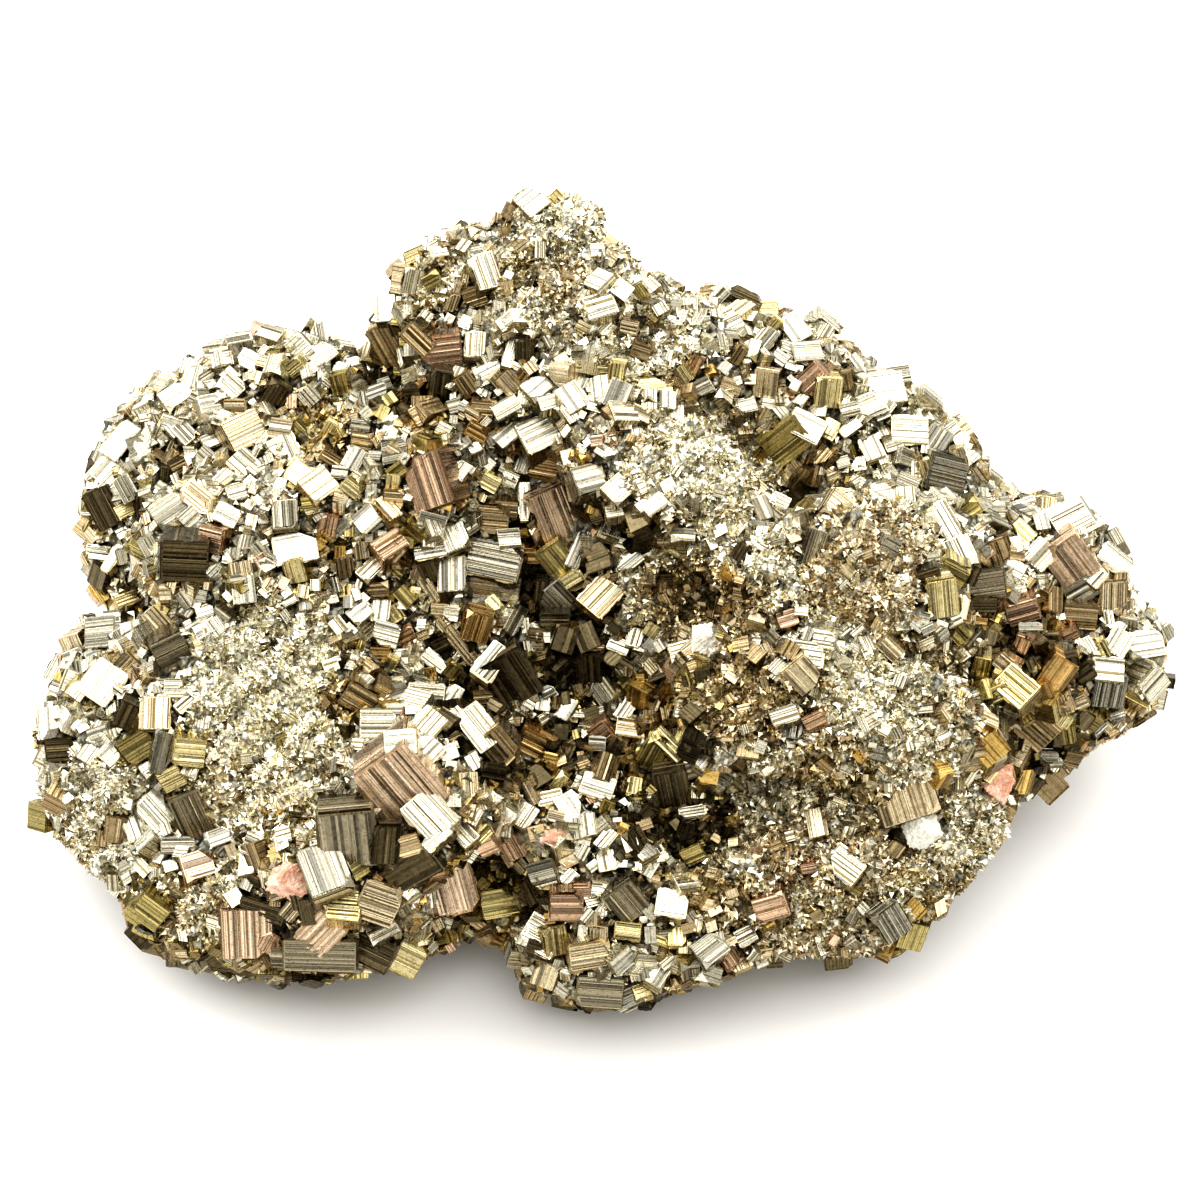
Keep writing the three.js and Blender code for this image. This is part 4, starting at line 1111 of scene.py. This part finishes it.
def quartz_material():
    """Milky white quartz with clearer and cloudier parts."""
    nodes = Nodes("white_quartz")
    clouds = nodes.spread(nodes.noise(scale=900, detail=3), 0.35, 0.65, 0, 1)
    return nodes.finish(
        Base_Color=nodes.blended(clouds, (0.62, 0.60, 0.52), (0.86, 0.84, 0.76)),
        Roughness=nodes.spread(clouds, 0, 1, 0.18, 0.42),
        Normal=nodes.relief(nodes.noise(scale=3000, detail=3), strength=0.3, depth=0.08),
        Subsurface_Weight=0.2,
        Subsurface_Scale=0.8 * MM,
    )


def floor_material():
    """Plain pale matt card."""
    return Nodes("pale_floor").finish("ShaderNodeBsdfDiffuse", Color=(0.86, 0.86, 0.85))


def grain_mesh(name, node, seed):
    """A packed grain with a fine broken surface."""
    skin = ("REMESH", {"mode": "VOXEL", "voxel_size": 0.13 * MM})
    mesh = modified_mesh(name, node.data, [skin])
    points, normals = places_of(mesh), normals_of(mesh)
    rough = waves(points, 1.3, seed) - 0.5
    rough += 0.6 * (waves(points, 0.6, seed + 2) - 0.5)
    ledges = np.round(rough * 5) / 5
    move_to(mesh, points + normals * (0.28 * ledges + 0.06 * rough)[:, None])
    bake_map(mesh)
    return mesh


def softbox(name, azimuth, elevation, distance, width, height, power):
    """A soft rectangular light, aimed at the specimen. Lengths are in metres."""
    light = bpy.data.lights.new(name, "AREA")
    light.shape = "RECTANGLE"
    light.size = width
    light.size_y = height
    light.energy = power
    lamp = add_object(name, light)
    turn, rise = math.radians(azimuth), math.radians(elevation)
    away = Vector((math.sin(turn) * math.cos(rise), math.cos(turn) * math.cos(rise), math.sin(rise)))
    lamp.location = away * distance + Vector((0, 0, 0.03))
    lamp.rotation_euler = away.to_track_quat("Z", "Y").to_euler()


def add_lights():
    softbox("overhead", azimuth=0, elevation=68, distance=1.1, width=3.8, height=2.3, power=62)
    softbox("front_fill", azimuth=180, elevation=56, distance=1.4, width=1.7, height=0.8, power=5.5)
    softbox("left_fill", azimuth=-75, elevation=30, distance=1.2, width=0.6, height=0.6, power=3)
    world = bpy.data.worlds.new("room")
    world.use_nodes = True
    background = world.node_tree.nodes["Background"]
    background.inputs["Color"].default_value = (1.0, 0.93, 0.80, 1)
    background.inputs["Strength"].default_value = 0.52
    bpy.context.scene.world = world


def add_floor():
    """A wide floor, a hair below the underside so that the two don't fight for the same place."""
    half = 2.5
    mesh = bpy.data.meshes.new("floor")
    corners = [(-half, -half, 0), (half, -half, 0), (half, half, 0), (-half, half, 0)]
    mesh.from_pydata(corners, [], [(0, 1, 2, 3)])
    mesh.materials.append(floor_material())
    floor = add_object("floor", mesh)
    floor.location.z = -0.05 * MM


def add_camera():
    data = bpy.data.cameras.new("view")
    data.lens = LENS
    data.sensor_width = SENSOR
    data.clip_start = 0.01
    camera = add_object("view", data)
    camera.location = Vector(EYE * MM)
    camera.rotation_euler = (math.pi / 2 - VIEW_ELEVATION, 0, 0)
    bpy.context.scene.camera = camera


def add_pyrite():
    """The mass and every size class of crystal on it."""
    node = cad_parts["pyrite_cluster"]
    solid = Skin(node.data)
    mesh = mass_mesh(node)
    mass = Skin(mesh)
    large = joined(seen_crystals(solid, mass), back_crystals(solid))
    large = large.keep(large.lowest() > LEAST_HEIGHT)
    break_into_facets(mesh, mass, large)
    bake_map(mesh)
    add_piece("pyrite_mass", mesh, mass_material(), "pyrite_cluster")

    metal, crust = crystal_material(), crust_material()
    fine = fineness(mass.middle, mass.normal)
    open_sky = fade(-0.95, -0.6, mass.normal[:, 2])
    growths = joined(*[side_growths(large, share) for share in GROWTH_ROUNDS])
    medium = scattered_crystals(mass, open_sky * (1.03 - fine) ** 1.5, large, **MEDIUM)
    small = scattered_crystals(mass, open_sky * (1.15 - fine), large, **SMALL)
    druse = scattered_crystals(mass, open_sky * (0.13 + 0.87 * fine), large, **DRUSE)
    druse.colour *= DRUSE_LIGHT
    third, two_thirds = np.quantile(druse.middle[:, 2], (1 / 3, 2 / 3))
    low = druse.middle[:, 2] < third
    high = druse.middle[:, 2] > two_thirds
    wide = large.size[:, 1] > WIDE
    sets = {
        "large_crystals": [
            block_solids(joined(large, growths), CUT_CORNERS),
            lined_solids(large.keep(wide), FRONT, WIDE_BANDS),
            lined_solids(large.keep(~wide), FRONT, BANDS),
            *[lined_solids(large, face, BANDS) for face in SIDES],
            lined_solids(growths, FRONT, GROWTH_BANDS),
        ],
        "medium_crystals": [block_solids(medium, CUT_CORNERS), lined_solids(medium, FRONT, MEDIUM_BANDS)],
        "small_crystals": [block_solids(small)],
        "druse_low": [shard_solids(druse.keep(low))],
        "druse_middle": [shard_solids(druse.keep(~low & ~high))],
        "druse_high": [shard_solids(druse.keep(high))],
    }
    for name, solids in sets.items():
        material = crust if "druse" in name else metal
        add_piece("pyrite_" + name, mesh_from("pyrite_" + name, solids), material, "pyrite_cluster")


def add_grains():
    """The grains of other minerals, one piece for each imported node."""
    materials = {"pink_carbonate": carbonate_material(), "white_quartz": quartz_material()}
    names = sorted(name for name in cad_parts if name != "pyrite_cluster")
    for seed, name in enumerate(names):
        slot = name.rsplit("_", 1)[0]
        mesh = grain_mesh(name + "_rough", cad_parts[name], seed)
        add_piece(name + "_rough", mesh, materials[slot], name)


add_camera()
add_lights()
add_floor()
add_pyrite()
add_grains()
bpy.context.scene.view_settings.view_transform = "Standard"
bpy.context.scene.view_settings.look = "Medium High Contrast"
